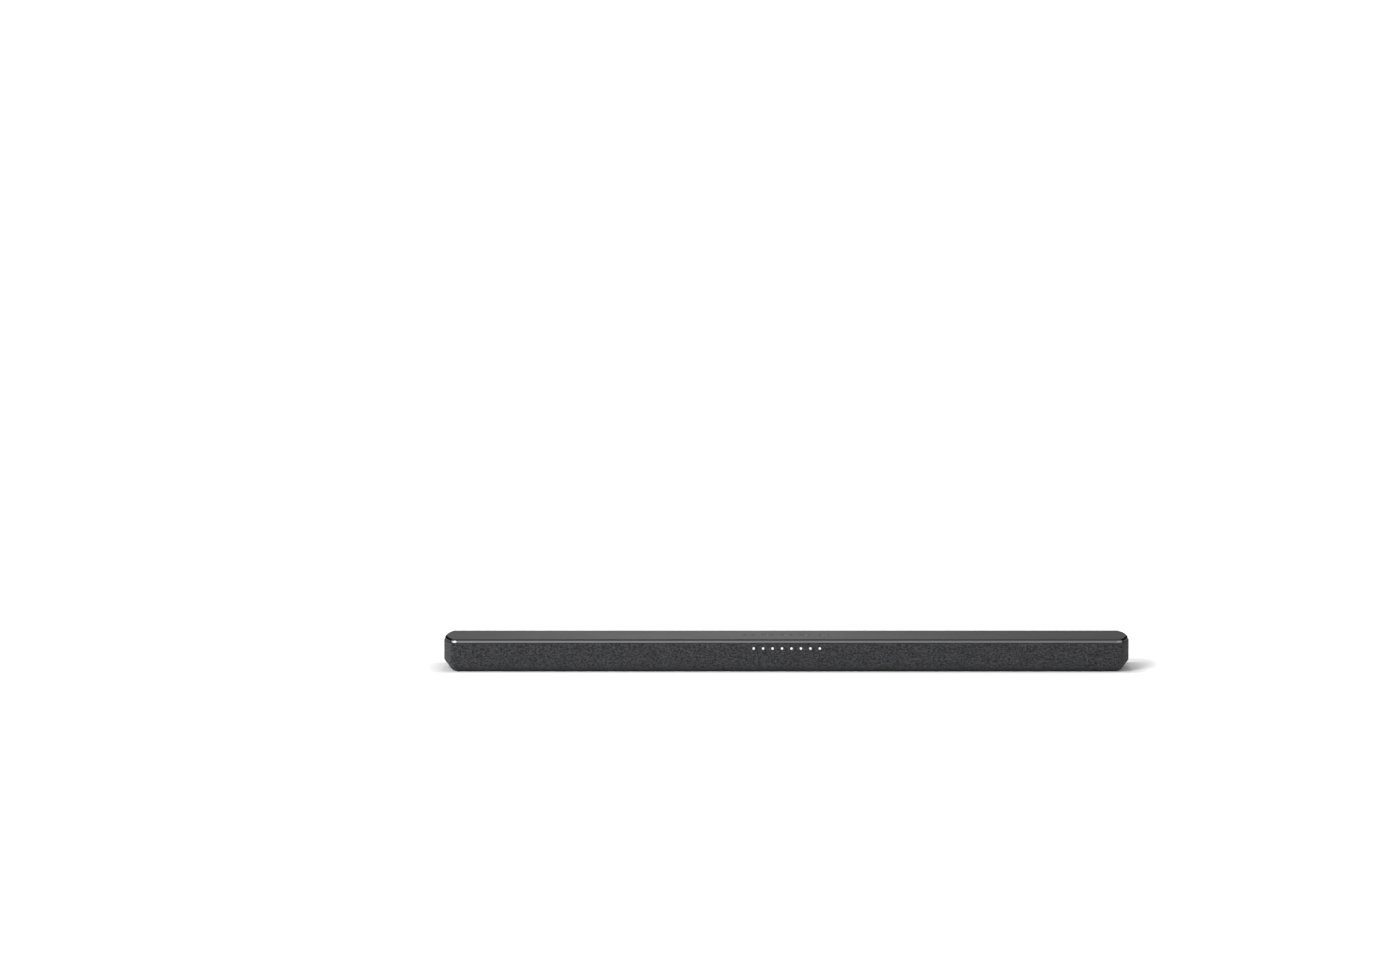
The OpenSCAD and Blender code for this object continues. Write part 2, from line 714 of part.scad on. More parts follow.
module key_board() {
  color("#1f4a33") difference() {
    union() {
      translate([0, 0, key_board_z]) linear_extrude(board_t) square(key_board_size, center = true);
      for (k = [0 : 4]) translate([key_x(k), 0, key_board_z + board_t]) difference() {
        translate([0, 0, switch_h / 2]) cube([6, 6, switch_h], center = true);
        translate([0, 0, switch_h - plunger_in - key_travel - seam])
          cylinder(r = plunger_r + seam, h = plunger_in + key_travel + seam + margin);
      }
      block(key_ribbon_x - ribbon_w / 2 - 1, key_ribbon_x + ribbon_w / 2 + 1,
        ribbon_plug_y + 4, ribbon_plug_y + 8, key_board_z - 1.5, key_board_z);
    }
    for (p = key_posts) post(p, pilot_r + seam, key_board_z - margin, key_board_z + board_t + margin);
  }
}

// ---- Lights ------------------------------------------------------------------------------------

led_z0 = light_z - 4;
led_board_t = 1.2;
led_h = 0.8;
carrier_t = 2;
module light_place(k) { on_baffle((k - (light_count - 1) / 2) * light_pitch, light_z) children(); }

module led_board() {
  left = -island.x / 2 - 5;
  color("#1f4a33") on_baffle(0, light_z) translate([left, -island.y / 2, 0]) linear_extrude(led_board_t)
    square([sensor_x + 5 - left, island.y]);
  color("#f4f4ee") for (k = [0 : light_count - 1]) light_place(k)
    translate([0, 0, led_board_t + led_h / 2]) cube([3, 2, led_h], center = true);
}

// Eight clear pipes on one moulded bar carry the light to the back of the cloth
module light_guide() {
  start = led_board_t + led_h + 0.1;
  color("#e8eef2") {
    on_baffle(0, light_z) translate([0, 0, start]) linear_extrude(carrier_t)
      square([(light_count - 1) * light_pitch + 6, 5], center = true);
    for (k = [0 : light_count - 1]) light_place(k) translate([0, 0, start])
      cylinder(r = light_r, h = baffle_set - cloth_t - start - 0.1);
  }
}

module infrared_receiver() {
  color("#26191c") on_baffle(sensor_x, light_z) translate([0, 0, led_board_t]) {
    translate([0, 0, 1.5]) cube([6, 6.4, 3], center = true);
    translate([0, 0, 2.6]) sphere(r = 2.4);
  }
}

// ---- Boards and sockets ------------------------------------------------------------------------

panel_t = 2;
panel_y = bay_floor_y + panel_t;
socket_z = main_z + board_t;
ribbon_w = 10;
ribbon_t = 0.3;
ribbon_plug_h = 1.5;
led_ribbon_x = 0;
key_ribbon_x = 1.5 * key_pitch;
slot_z = led_z0 - 2;

module board(x, y, z, posts) {
  difference() {
    block(x[0], x[1], y[0], y[1], z, z + board_t);
    for (p = posts) post(p, pilot_r + seam, z - margin, z + board_t + margin);
  }
}

module main_board() {
  top = main_z + board_t;
  y = main_y[0];
  edge = main_x[1];
  color("#1f4a33") board(main_x, main_y, main_z, main_posts);
  color("#18181a") {
    block(0, 14, y + 7, y + 21, top, top + 1.2);
    block(22, 32, y + 9, y + 19, top, top + 1);
    block(-46, -18, y + 6, y + 22, top, top + amplifier_h);
    for (x = [40, 46, 52]) block(x, x + 4, y + 11, y + 16, top, top + 0.8);
    for (s = [-1, 1]) block(s * (edge - 8) - 4, s * (edge - 8) + 4, lead_y - 3, lead_y + 3, top, top + 5);
    block(edge - 12, edge - 4, supply_y - 2.8, supply_y + 2.8, top, top + 5);
  }
  color("#d8d4c6") for (x = [led_ribbon_x, key_ribbon_x]) block(x - ribbon_w / 2 - 1, x + ribbon_w / 2 + 1,
    ribbon_plug_y - 2, ribbon_plug_y + 2, top, top + ribbon_plug_h);
  color("#9b9da0") for (x = [38, 48]) post([x, main_y[1] - 14], 3, top, top + 7);
}

// An extruded heat sink on the amplifier, with upright fins
amplifier_h = 1.4;
module heat_sink() {
  z0 = main_z + board_t + amplifier_h;
  y = [main_y[0] + 5, main_y[0] + 23];
  fins = 7;
  fin_t = 1.4;
  color("#a8abad") {
    block(-48, -16, y[0], y[1], z0, z0 + 1.6);
    for (k = [0 : fins - 1]) block(-48 + k * 5, -48 + k * 5 + fin_t, y[0], y[1], z0 + 1, z0 + 11);
  }
}

module wireless_module() {
  top = wireless_z + board_t;
  color("#20402e") board(wireless_x, wireless_y, wireless_z, wireless_posts);
  color("#b9bcbe") block(wireless_x[0] + 14, wireless_x[1] - 14, wireless_y[0] + 12, wireless_y[1] - 6,
    top, top + 2.4);
}

// The power board's parts stand in line from the supply plug, with equal gaps up to the board's far end
power_gap = (power_x[1] - power_x[0] - 76.5) / 4;
transformer_x = power_x[0] + 25 + power_gap;
capacitor_r = 7;
capacitor_x = [for (k = [0, 1]) power_x[0] + 45.5 + 2 * power_gap + k * 15.5];
power_mid = (power_y[0] + power_y[1]) / 2;
plug_y = power_y[1] - 16;

module power_board() {
  top = power_z + board_t;
  x = power_x[0];
  y = power_y[0];
  sink_x = x + 74 + 3 * power_gap;
  color("#7a5a2c") board(power_x, power_y, power_z, power_posts);
  color("#a8abad") block(sink_x, sink_x + 2, y + 8, y + 26, top, top + 16);
  color("#18181a") {
    block(sink_x - 5, sink_x, y + 10, y + 18, top, top + 14);
    block(x + 3, x + 9, y + 8, y + 16, top, top + 9);
    block(x + 2, x + 10, plug_y, plug_y + 7, top, top + 6);
    for (c = capacitor_x) post([c, power_mid - 13], 4, top, top + 11);
  }
}

module power_transformer() {
  core = [26, 22, 18];
  window = [16, 10];
  place = [transformer_x, power_mid - 3, power_z + board_t + 1 + core.z / 2];
  color("#4b4b4e") translate(place) difference() {
    cube(core, center = true);
    cube([window.x, core.y + 2 * margin, window.y], center = true);
  }
  color("#c9b04a") translate(place) rotate([90, 0, 0])
    cylinder(r = window.y / 2 - 0.1, h = core.y, center = true);
}

module bulk_capacitors() {
  color("#23304a") for (x = capacitor_x) translate([x, power_mid + 4, power_z + board_t + capacitor_r])
    rotate([90, 0, 0]) cylinder(r = capacitor_r, h = 22, center = true);
}

// Cut-outs of the sockets, seen from behind the bar, as [x, z, width, height]
hdmi_at = [28 - bay_w / 2, socket_z + 3.2];
optical_at = [hdmi_at.x + 28, socket_z + 5];
usb_at = [optical_at.x + 24, socket_z + 3.6];
aux_at = [bay_w / 2 - 22, socket_z + 5.5];
hdmi_size = [15.2, 6];
optical_size = [10, 10];
usb_size = [13.4, 6.4];
aux_collar = 3.6;
function socket_list() = [
  [hdmi_at.x, hdmi_at.y, hdmi_size.x, hdmi_size.y],
  [optical_at.x, optical_at.y, optical_size.x, optical_size.y],
  [usb_at.x, usb_at.y, usb_size.x, usb_size.y]
];

module connector_panel() {
  color("#2a2a2c") difference() {
    block(-bay_w / 2 + seam, bay_w / 2 - seam, bay_floor_y, panel_y, bay_z + seam, bay_z + bay_h - seam);
    for (s = socket_list()) translate([s[0], bay_floor_y, s[1]]) block(-s[2] / 2 - seam, s[2] / 2 + seam,
      -margin, panel_t + margin, -s[3] / 2 - seam, s[3] / 2 + seam);
    translate([aux_at.x, panel_y + margin, aux_at.y]) rotate([90, 0, 0])
      cylinder(r = aux_collar + seam, h = panel_t + 2 * margin);
  }
}

// Draws a socket along +Z from its mouth inwards, at its place in the panel
module socket_place(at) { translate([at.x, panel_y, at.y]) rotate([90, 0, 0]) children(); }

module hdmi_socket() {
  deep = 12;
  w = hdmi_size.x;
  h = hdmi_size.y;
  cut = 2;
  shape = [[-w / 2, -h / 2 + cut], [-w / 2 + cut, -h / 2], [w / 2 - cut, -h / 2], [w / 2, -h / 2 + cut],
    [w / 2, h / 2], [-w / 2, h / 2]];
  color("#b9bcbe") socket_place(hdmi_at) difference() {
    linear_extrude(deep) polygon(shape);
    translate([0, 0, -margin]) linear_extrude(deep - 1 + margin) difference() {
      polygon([for (p = shape) [p.x * (1 - 1 / w), p.y * (1 - 1 / h)]]);
      square([11, 1.4], center = true);
    }
  }
}

module usb_socket() {
  deep = 13;
  color("#b9bcbe") socket_place(usb_at) difference() {
    linear_extrude(deep) square(usb_size, center = true);
    translate([0, 0, -margin]) linear_extrude(deep - 1 + margin) difference() {
      square([usb_size.x - 0.9, usb_size.y - 0.9], center = true);
      translate([0, 1]) square([11, 1.9], center = true);
    }
  }
}

module optical_socket() {
  deep = 13;
  color("#2b2b2d") socket_place(optical_at) difference() {
    linear_extrude(deep) square(optical_size, center = true);
    translate([0, 0, -margin]) linear_extrude(7 + margin) square([8, 7.6], center = true);
    translate([0, 0, -margin]) cylinder(r = 1.1, h = 11 + margin);
  }
}

aux_l = 13;
module aux_jack() {
  color("#232325") socket_place(aux_at) difference() {
    union() {
      cylinder(r = aux_collar, h = panel_t + 1);
      translate([-5.5, -5.5, panel_t]) cube([11, 11, aux_l - panel_t + 1]);
    }
    translate([0, 0, -margin]) cylinder(r = aux_r, h = aux_l + margin);
  }
}

// A two-pin mains inlet, its mouth in the shape of an eight
pin_gap = 8.6;
module mains_inlet() {
  deep = 16;
  color("#1d1d1f") translate([inlet_x, rear_y, inlet_z]) rotate([90, 0, 0]) difference() {
    linear_extrude(deep) square(inlet_size, center = true);
    translate([0, 0, -margin]) linear_extrude(9.5 + margin) {
      for (s = [-1, 1]) translate([s * pin_gap / 2, 0]) circle(r = 3.8);
      square([pin_gap, 5.4], center = true);
    }
  }
  color("#c8c9ca") translate([inlet_x, rear_y, inlet_z]) rotate([90, 0, 0]) for (s = [-1, 1])
    translate([s * pin_gap / 2, 0, 1.5]) cylinder(r = 1.2, h = 10);
}

// ---- Leads -------------------------------------------------------------------------------------

module speaker_lead(right) {
  a = main_x[1];
  b = chamber_x;
  mirror([right ? 0 : 1, 0, 0]) color("#7a1f1f") lead([
    [a - 4, lead_y, socket_z + 3], [a + 2, lead_y, socket_z + 3], [a + 7, lead_y, lead_z + 3],
    [a + 12, lead_y, lead_z], [b + 11, lead_y, lead_z], [b + 21, lead_y - 1, lead_z + 1],
    [b + 27, lead_y - 4, lead_z + 7], [b + 29, lead_y - 8, lead_z + 11],
    [b + 29, lead_y - 11, lead_z + 11.5], [b + 29, baffle_y - motor_z, lead_z + 11.5]
  ], lead_r);
}

// A flat flexible cable: its side line p, drawn as [y, z], with a thickness and a width across the bar
module flat_cable(x, p) {
  n = len(p);
  side = [for (k = [0 : n - 1]) let (d = heading(p, k)) [-d.y, d.x] * ribbon_t / 2];
  translate([x - ribbon_w / 2, 0, 0]) rotate([90, 0, 90]) linear_extrude(ribbon_w)
    polygon(concat([for (k = [0 : n - 1]) p[k] + side[k]], [for (k = [n - 1 : -1 : 0]) p[k] - side[k]]));
}

module ribbon_cables() {
  y = ribbon_plug_y;
  low = socket_z + ribbon_plug_h;
  key_side = key_board_z - 0.8;
  led_side = baffle_y - led_board_t / 2;
  color("#d8d4c6") {
    flat_cable(key_ribbon_x, [[y + 4, key_side], [y + 1.4, key_side], [y, key_side - 1.4], [y, low]]);
    flat_cable(led_ribbon_x, [[led_side, led_z0], [led_side, slot_z + 1], [led_side + 1, slot_z],
      [y - 1.4, slot_z], [y, slot_z - 1.4], [y, low]]);
  }
}

module supply_harness() {
  a = main_x[1];
  b = power_x[0];
  y = plug_y + 3.5;
  color("#c0442c") for (s = [-1, 1]) translate([0, 1.6 * s, 0]) lead([
    [a - 4, supply_y, socket_z + 2], [a - 2, supply_y, socket_z + 2], [a + 2, supply_y, socket_z + 5],
    [b - 7, y - 4, socket_z + 5], [b - 3, y, socket_z + 2], [b - 1, y, socket_z + 2],
    [b + 2, y, socket_z + 2]
  ], lead_r);
}

// ---- Screws ------------------------------------------------------------------------------------

module screw(r, length, cap_r, cap_h) {
  cylinder(r = r, h = length);
  translate([0, 0, -cap_h]) cylinder(r = cap_r, h = cap_h);
}

module housing_screws() {
  color("#8e9194") for (p = columns) translate([p.x, p.y, foot_gap + head_seat])
    screw(screw_r, screw_l, head_r, head_h);
}

module driver_screws() {
  color("#8e9194") for (s = [-1, 1]) {
    for (p = woofer_screws) on_baffle(s * woofer_x) translate(concat(p, flange_t)) mirror([0, 0, 1])
      screw(driver_pilot - screw_fit, flange_t + baffle_t, 2.4, 1);
    for (p = tweeter_screws) on_baffle(s * tweeter_x) translate(concat(p, flange_t)) mirror([0, 0, 1])
      screw(driver_pilot - screw_fit, flange_t + baffle_t, 2.2, 1);
  }
}

module board_screw() { screw(pilot_r - screw_fit, 5, 2.2, 1); }

module board_screws() {
  color("#8e9194") {
    for (p = main_posts) translate([p.x, p.y, main_z + board_t]) mirror([0, 0, 1]) board_screw();
    for (p = power_posts) translate([p.x, p.y, power_z + board_t]) mirror([0, 0, 1]) board_screw();
    for (p = wireless_posts) translate([p.x, p.y, wireless_z + board_t]) mirror([0, 0, 1]) board_screw();
    for (p = key_posts) translate([p.x, p.y, key_board_z]) board_screw();
    for (s = [-1, 1], t = [-1, 1]) translate([s * hanger_x + t * hanger_screw_x, rear_y, hanger_z])
      rotate([90, 0, 0]) translate([0, 0, hanger_t]) screw(pilot_r - screw_fit, 5, pilot_r, hanger_t - 0.1);
  }
}

rear_housing();
top_cover();
grille_frame();
grille_cloth();
front_baffle();
connector_panel();
foot(-1, -1);  // foot_front_left
foot(1, -1);  // foot_front_right
foot(-1, 1);  // foot_rear_left
foot(1, 1);  // foot_rear_right
wall_hanger(false);  // wall_hanger_left
wall_hanger(true);  // wall_hanger_right
woofer_frame(false);  // woofer_frame_left
woofer_motor(false);  // woofer_motor_left
woofer_coil(false);  // woofer_coil_left
woofer_cone(false);  // woofer_cone_left
woofer_surround(false);  // woofer_surround_left
woofer_spider(false);  // woofer_spider_left
woofer_frame(true);  // woofer_frame_right
woofer_motor(true);  // woofer_motor_right
woofer_coil(true);  // woofer_coil_right
woofer_cone(true);  // woofer_cone_right
woofer_surround(true);  // woofer_surround_right
woofer_spider(true);  // woofer_spider_right
tweeter_body(false);  // tweeter_body_left
tweeter_dome(false);  // tweeter_dome_left
tweeter_body(true);  // tweeter_body_right
tweeter_dome(true);  // tweeter_dome_right
key(0);  // key_minus
key(1);  // key_plus
key(2);  // key_power
key(3);  // key_source
key(4);  // key_play
plunger(0);  // plunger_minus
plunger(1);  // plunger_plus
plunger(2);  // plunger_power
plunger(3);  // plunger_source
plunger(4);  // plunger_play
key_board();
led_board();
light_guide();
infrared_receiver();
main_board();
heat_sink();
wireless_module();
hdmi_socket();
optical_socket();
usb_socket();
aux_jack();
power_board();
power_transformer();
bulk_capacitors();
mains_inlet();
speaker_lead(false);  // speaker_lead_left
speaker_lead(true);  // speaker_lead_right
ribbon_cables();
supply_harness();
housing_screws();
driver_screws();
board_screws();
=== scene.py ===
import math

import bmesh
import bpy
import numpy as np
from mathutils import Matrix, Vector
from mathutils.geometry import delaunay_2d_cdt


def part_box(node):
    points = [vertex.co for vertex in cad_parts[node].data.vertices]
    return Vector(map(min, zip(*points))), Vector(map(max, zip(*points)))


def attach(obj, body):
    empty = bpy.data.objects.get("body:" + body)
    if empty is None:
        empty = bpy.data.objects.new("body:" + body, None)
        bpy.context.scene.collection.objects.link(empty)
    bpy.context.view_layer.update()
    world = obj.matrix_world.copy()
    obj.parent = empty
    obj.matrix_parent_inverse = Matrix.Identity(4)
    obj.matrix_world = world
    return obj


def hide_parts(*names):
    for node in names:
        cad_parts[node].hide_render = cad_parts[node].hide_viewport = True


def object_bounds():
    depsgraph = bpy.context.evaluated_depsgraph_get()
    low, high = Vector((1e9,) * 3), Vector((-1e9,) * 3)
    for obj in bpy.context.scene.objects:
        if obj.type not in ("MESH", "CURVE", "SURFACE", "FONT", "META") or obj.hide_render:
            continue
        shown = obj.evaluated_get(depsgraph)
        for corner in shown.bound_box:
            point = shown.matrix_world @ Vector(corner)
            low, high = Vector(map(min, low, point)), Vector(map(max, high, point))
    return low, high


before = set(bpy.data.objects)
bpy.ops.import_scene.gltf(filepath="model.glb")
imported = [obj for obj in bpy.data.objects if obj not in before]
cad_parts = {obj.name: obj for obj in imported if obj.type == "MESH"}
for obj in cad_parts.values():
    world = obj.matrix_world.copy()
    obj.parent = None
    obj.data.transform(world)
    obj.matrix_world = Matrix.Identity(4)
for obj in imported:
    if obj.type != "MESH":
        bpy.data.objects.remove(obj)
cad_low, cad_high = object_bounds()

# ---- Studio ------------------------------------------------------------------------------------
# A long lens looks down a little at the front of the bar, which stands on white paper. Soft lamps
# stand in front on both sides, a small one behind lights the top, and a low one on the left shows
# only as a glint. The room fills the rest.

scene = bpy.context.scene
scene.view_settings.view_transform = "Standard"
foot_line = Vector((0, cad_low.y + 0.005, cad_low.z))
away, above, off_centre, tilt = 9.828, math.radians(8.084), -0.101, 6.782
camera = bpy.data.objects.new("camera", bpy.data.cameras.new("camera"))
scene.collection.objects.link(camera)
scene.camera = camera
camera.data.sensor_width, camera.data.lens, camera.data.clip_end = 36, 216.8, 60
camera.location = foot_line + Vector((off_centre, -away * math.cos(above), away * math.sin(above)))
camera.rotation_euler = (math.radians(90 - tilt), 0, 0)


def lamp(name, place, wide, tall, watts):
    """A soft lamp at place, wide by tall, turned so that its face looks at the bar."""
    light = bpy.data.lights.new(name, "AREA")
    light.shape, light.size, light.size_y, light.energy = "RECTANGLE", wide, tall, watts
    lit = bpy.data.objects.new(name, light)
    scene.collection.objects.link(lit)
    lit.location = place
    lit.rotation_euler = (-Vector(place)).to_track_quat("-Z", "Y").to_euler()
    return lit


lamp("lamp_left", (-2.2, -2.6, 2.6), 1.8, 0.8, watts=125)
lamp("lamp_right", (2.6, -2.6, 1.6), 1.6, 1.6, watts=22)
lamp("lamp_back", (-0.09, 1.8, 0.9), 0.5, 0.5, watts=5)
lamp("lamp_glint", (-2.35, -2.85, 0.3), 2.6, 0.5, watts=240).visible_diffuse = False


def add(tree, kind, *links, out=0, **values):
    """A shader node's output, or nothing with out as None. links go to its inputs in order, and values name an
    input or one of its settings."""
    node = tree.nodes.new("ShaderNode" + kind)
    for name, value in values.items():
        if hasattr(node, name):
            setattr(node, name, value)
    named = {name.replace("_", " "): value for name, value in values.items() if not hasattr(node, name)}
    for key, value in [*enumerate(links), *named.items()]:
        socket = node.inputs[key]
        if isinstance(value, bpy.types.NodeSocket):
            tree.links.new(value, socket)
        else:
            socket.default_value = value
    return None if out is None else node.outputs[out]


def calc(tree, operation, *values, clamp=False):
    """One step of arithmetic on numbers or sockets."""
    return add(tree, "Math", *values, operation=operation, use_clamp=clamp)


def ramp(tree, value, start, stop, low=0.0, high=1.0):
    """value taken smoothly from low at start to high at stop, and held at both ends."""
    return add(tree, "MapRange", Value=value, From_Min=start, From_Max=stop, To_Min=low, To_Max=high,
               interpolation_type="SMOOTHSTEP")


def on_piece(tree):
    """A point's place on the piece in metres, since every piece lies at the origin."""
    return add(tree, "TexCoord", out=3)


def seen_directly(tree):
    """1 for rays from the camera, a mirror or clear plastic, and 0 for light that falls on the object."""
    kinds = add(tree, "LightPath").node.outputs
    seen = calc(tree, "ADD", kinds["Is Camera Ray"], kinds["Is Glossy Ray"])
    return calc(tree, "ADD", seen, kinds["Is Transmission Ray"], clamp=True)


world = bpy.data.worlds.new("room")
scene.world = world
world.use_nodes = True
room = world.node_tree
wall_light, wall_seen = 0.42, 1.0
level = add(room, "MapRange", Value=seen_directly(room), To_Min=wall_light, To_Max=wall_seen)
room.nodes["Background"].inputs["Color"].default_value = (1, 1, 1, 1)
room.links.new(level, room.nodes["Background"].inputs["Strength"])

span = 14
mesh = bpy.data.meshes.new("floor")
mesh.from_pydata([(-span, -span, 0), (span, -span, 0), (span, span, 0), (-span, span, 0)], [], [(0, 1, 2, 3)])
floor = bpy.data.objects.new("floor", mesh)
scene.collection.objects.link(floor)
paper = bpy.data.materials.new("white_paper")
paper.use_nodes = True
tree = paper.node_tree
tree.nodes.clear()

# Each glow is a rectangle's half size, how much each direction counts, the distances from the
# rectangle's edge at which it starts and is full, and its strength. The paper's own glow takes the
# place of what the room gives a large white sweep, and leaves the shadow by the bar.
near_bar = ((cad_high.x, cad_high.y, 0), (1, 4.5, 1), 0, 0.036, 0.3)
near_ends = ((cad_high.x, span, 0), (1, 1, 1), 0, 0.003, 0.06)
far_off = ((0, 0, 0), (1, 1, 1), 0.5, 2.4, 0.66)
folded = add(tree, "VectorMath", on_piece(tree), operation="ABSOLUTE")
total = 0.0
for half, spread, near, far, strength in (near_bar, near_ends, far_off):
    beyond = add(tree, "VectorMath", folded, half, operation="SUBTRACT")
    outside = add(tree, "VectorMath", beyond, (0, 0, 0), operation="MAXIMUM")
    spaced = add(tree, "VectorMath", outside, spread, operation="MULTIPLY")
    gone = add(tree, "VectorMath", spaced, operation="LENGTH", out=1)
    total = calc(tree, "ADD", ramp(tree, gone, near, far, high=strength), total)
matt = add(tree, "BsdfDiffuse", Color=(0.9, 0.9, 0.9, 1))
glow = add(tree, "Emission", Strength=calc(tree, "MULTIPLY", seen_directly(tree), total))
add(tree, "OutputMaterial", add(tree, "AddShader", matt, glow), out=None)
mesh.materials.append(paper)

# ---- Plastic mouldings -------------------------------------------------------------------------
# Injection-moulded ABS with the fine spark grain of its mould, which shows as a soft sparkle and
# as a roughness that is not quite even. Handling leaves a little dust where the surface faces up.


def mix(tree, factor, first, second, kind="RGBA"):
    """first where factor is 0 and second where it is 1, for colours, or for numbers with kind FLOAT."""
    node = tree.nodes.new("ShaderNodeMix")
    node.data_type = kind
    a, b, out = (6, 7, 2) if kind == "RGBA" else (2, 3, 0)
    for key, value in ((0, factor), (a, first), (b, second)):
        if isinstance(value, bpy.types.NodeSocket):
            tree.links.new(value, node.inputs[key])
        else:
            node.inputs[key].default_value = (*value, 1) if isinstance(value, tuple) else value
    return node.outputs[out]


def scaled(tree, colour, factor):
    """A colour times a number."""
    return add(tree, "VectorMath", colour, operation="SCALE", Scale=factor)


def effect(name, inputs, outputs):
    """An empty node group with named inputs and outputs: (tree, sockets going in, node taking them out)."""
    tree = bpy.data.node_groups.new(name, "ShaderNodeTree")
    kinds = {"value": "NodeSocketFloat", "colour": "NodeSocketColor", "vector": "NodeSocketVector"}
    for label, (kind, default) in inputs.items():
        socket = tree.interface.new_socket(label, in_out="INPUT", socket_type=kinds[kind])
        if default is not None:
            socket.default_value = default
    for label, kind in outputs.items():
        tree.interface.new_socket(label, in_out="OUTPUT", socket_type=kinds[kind])
    return tree, tree.nodes.new("NodeGroupInput").outputs, tree.nodes.new("NodeGroupOutput").inputs


def use(tree, group, **values):
    """A node that runs a group. values are given to its named inputs."""
    node = tree.nodes.new("ShaderNodeGroup")
    node.node_tree = group
    for name, value in values.items():
        socket = node.inputs[name.replace("_", " ")]
        if isinstance(value, bpy.types.NodeSocket):
            tree.links.new(value, socket)
        else:
            socket.default_value = value
    return node.outputs


def surface(name, **settings):
    """A new material on the Principled shader, with its constant settings: (material, tree, shader)."""
    material = bpy.data.materials.new(name)
    material.use_nodes = True
    tree = material.node_tree
    shader = tree.nodes["Principled BSDF"]
    for label, value in settings.items():
        shader.inputs[label.replace("_", " ")].default_value = value
    return material, tree, shader


def relief(tree, shader, height, depth):
    """Bump of that depth in metres from a height that runs from 0 to 1."""
    bump = add(tree, "Bump", Strength=1.0, Distance=depth, Height=height)
    tree.links.new(bump, shader.inputs["Normal"])


def dress(tree, shader, got, depth=None):
    """Joins what a group puts out to the shader: its colour, roughness and metal, and its height as bump of that
    depth in metres."""
    for label, socket in (("Colour", "Base Color"), ("Roughness", "Roughness"), ("Metallic", "Metallic")):
        if label in got:
            tree.links.new(got[label], shader.inputs[socket])
    if depth:
        relief(tree, shader, got["Height"], depth)


grain, taken, given = effect(
    "grain",
    {"Colour": ("colour", (0.1, 0.1, 0.1, 1)), "Roughness": ("value", 0.5), "Grain size": ("value", 0.0006),
     "Mottle": ("value", 0.12), "Dust": ("value", 0.1)},
    {"Colour": "colour", "Roughness": "value", "Height": "value"},
)
# Pits are the mould's fine grain and clouds its slow unevenness; motes of dust lie where it faces up.
dust_colour = (0.42, 0.41, 0.39)
place = on_piece(grain)
pits = add(grain, "TexNoise", Vector=place, Scale=calc(grain, "DIVIDE", 1.0, taken["Grain size"]), Detail=2.0,
           Roughness=0.6)
clouds = add(grain, "TexNoise", Vector=place, Scale=22.0, Detail=4.0, Roughness=0.6)
swing = calc(grain, "MULTIPLY", calc(grain, "SUBTRACT", clouds, 0.5), taken["Mottle"])
shade = calc(grain, "ADD", calc(grain, "MULTIPLY", calc(grain, "SUBTRACT", pits, 0.5), taken["Mottle"]), 1.0)
shade = calc(grain, "ADD", shade, swing)
up = add(grain, "SeparateXYZ", add(grain, "NewGeometry", out=1), out=2)
motes = add(grain, "TexNoise", Vector=place, Scale=900.0, Detail=3.0, Roughness=0.7)
dusty = calc(grain, "MULTIPLY", ramp(grain, up, 0.3, 1.0), ramp(grain, motes, 0.55, 0.75))
dusty = calc(grain, "MULTIPLY", dusty, taken["Dust"], clamp=True)
grain.links.new(mix(grain, dusty, scaled(grain, taken["Colour"], shade), dust_colour), given["Colour"])
rough = calc(grain, "ADD", taken["Roughness"], calc(grain, "MULTIPLY", swing, 0.8))
grain.links.new(calc(grain, "ADD", rough, calc(grain, "MULTIPLY", dusty, 0.2), clamp=True), given["Roughness"])
grain.links.new(pits, given["Height"])


def moulded(name, colour, roughness, grain_size=0.0006, depth=0.00003, mottle=0.12, dust=0.1, **settings):
    """Moulded plastic or rubber with the grain group on it. With depth as None it has no bump."""
    material, tree, shader = surface(name, **settings)
    got = use(tree, grain, Colour=(*colour, 1), Roughness=roughness, Grain_size=grain_size, Mottle=mottle,
              Dust=dust)
    dress(tree, shader, got, depth)
    return material


def finish_nodes(material, *names):
    """Gives the material to CAD nodes."""
    for name in names:
        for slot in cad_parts[name].material_slots:
            slot.material = material


finish_nodes(moulded("black_abs", (0.026, 0.026, 0.028), 0.52), "rear_housing")
finish_nodes(moulded("panel_abs", (0.022, 0.022, 0.024), 0.42, grain_size=0.0004), "connector_panel")
finish_nodes(moulded("frame_abs", (0.014, 0.014, 0.016), 0.6), "grille_frame", "front_baffle")
finish_nodes(moulded("foot_rubber", (0.03, 0.03, 0.03), 0.85, grain_size=0.001, dust=0.35),
             "foot_front_left", "foot_front_right", "foot_rear_left", "foot_rear_right")

# ---- Grille cloth ------------------------------------------------------------------------------
# A heather-grey knit, stretched over the grille frame from one end of the bar round the front to
# the other. Its top edge is tucked in under the cover, and its hem turns in under the bar.

cloth_low, cloth_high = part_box("grille_cloth")
end_radius, corner_radius, least_radius = 0.095, 0.006, 0.0004
roll_height, roll_inset, hem = 0.010, 0.006, 0.006
end_cut = 0.0075
tuck, tuck_radius = 0.0031, 0.0007
knit_thick = 0.0007
corner_steps, bow_steps, short_bow_steps = 10, 40, 36


def arc(x, y, radius, start, stop, steps):
    """Points on an arc: the centre plus the radius times the cosine and sine of each angle."""
    turn = np.linspace(start, stop, steps + 1)
    return np.column_stack([x + radius * np.cos(turn), y + radius * np.sin(turn)])


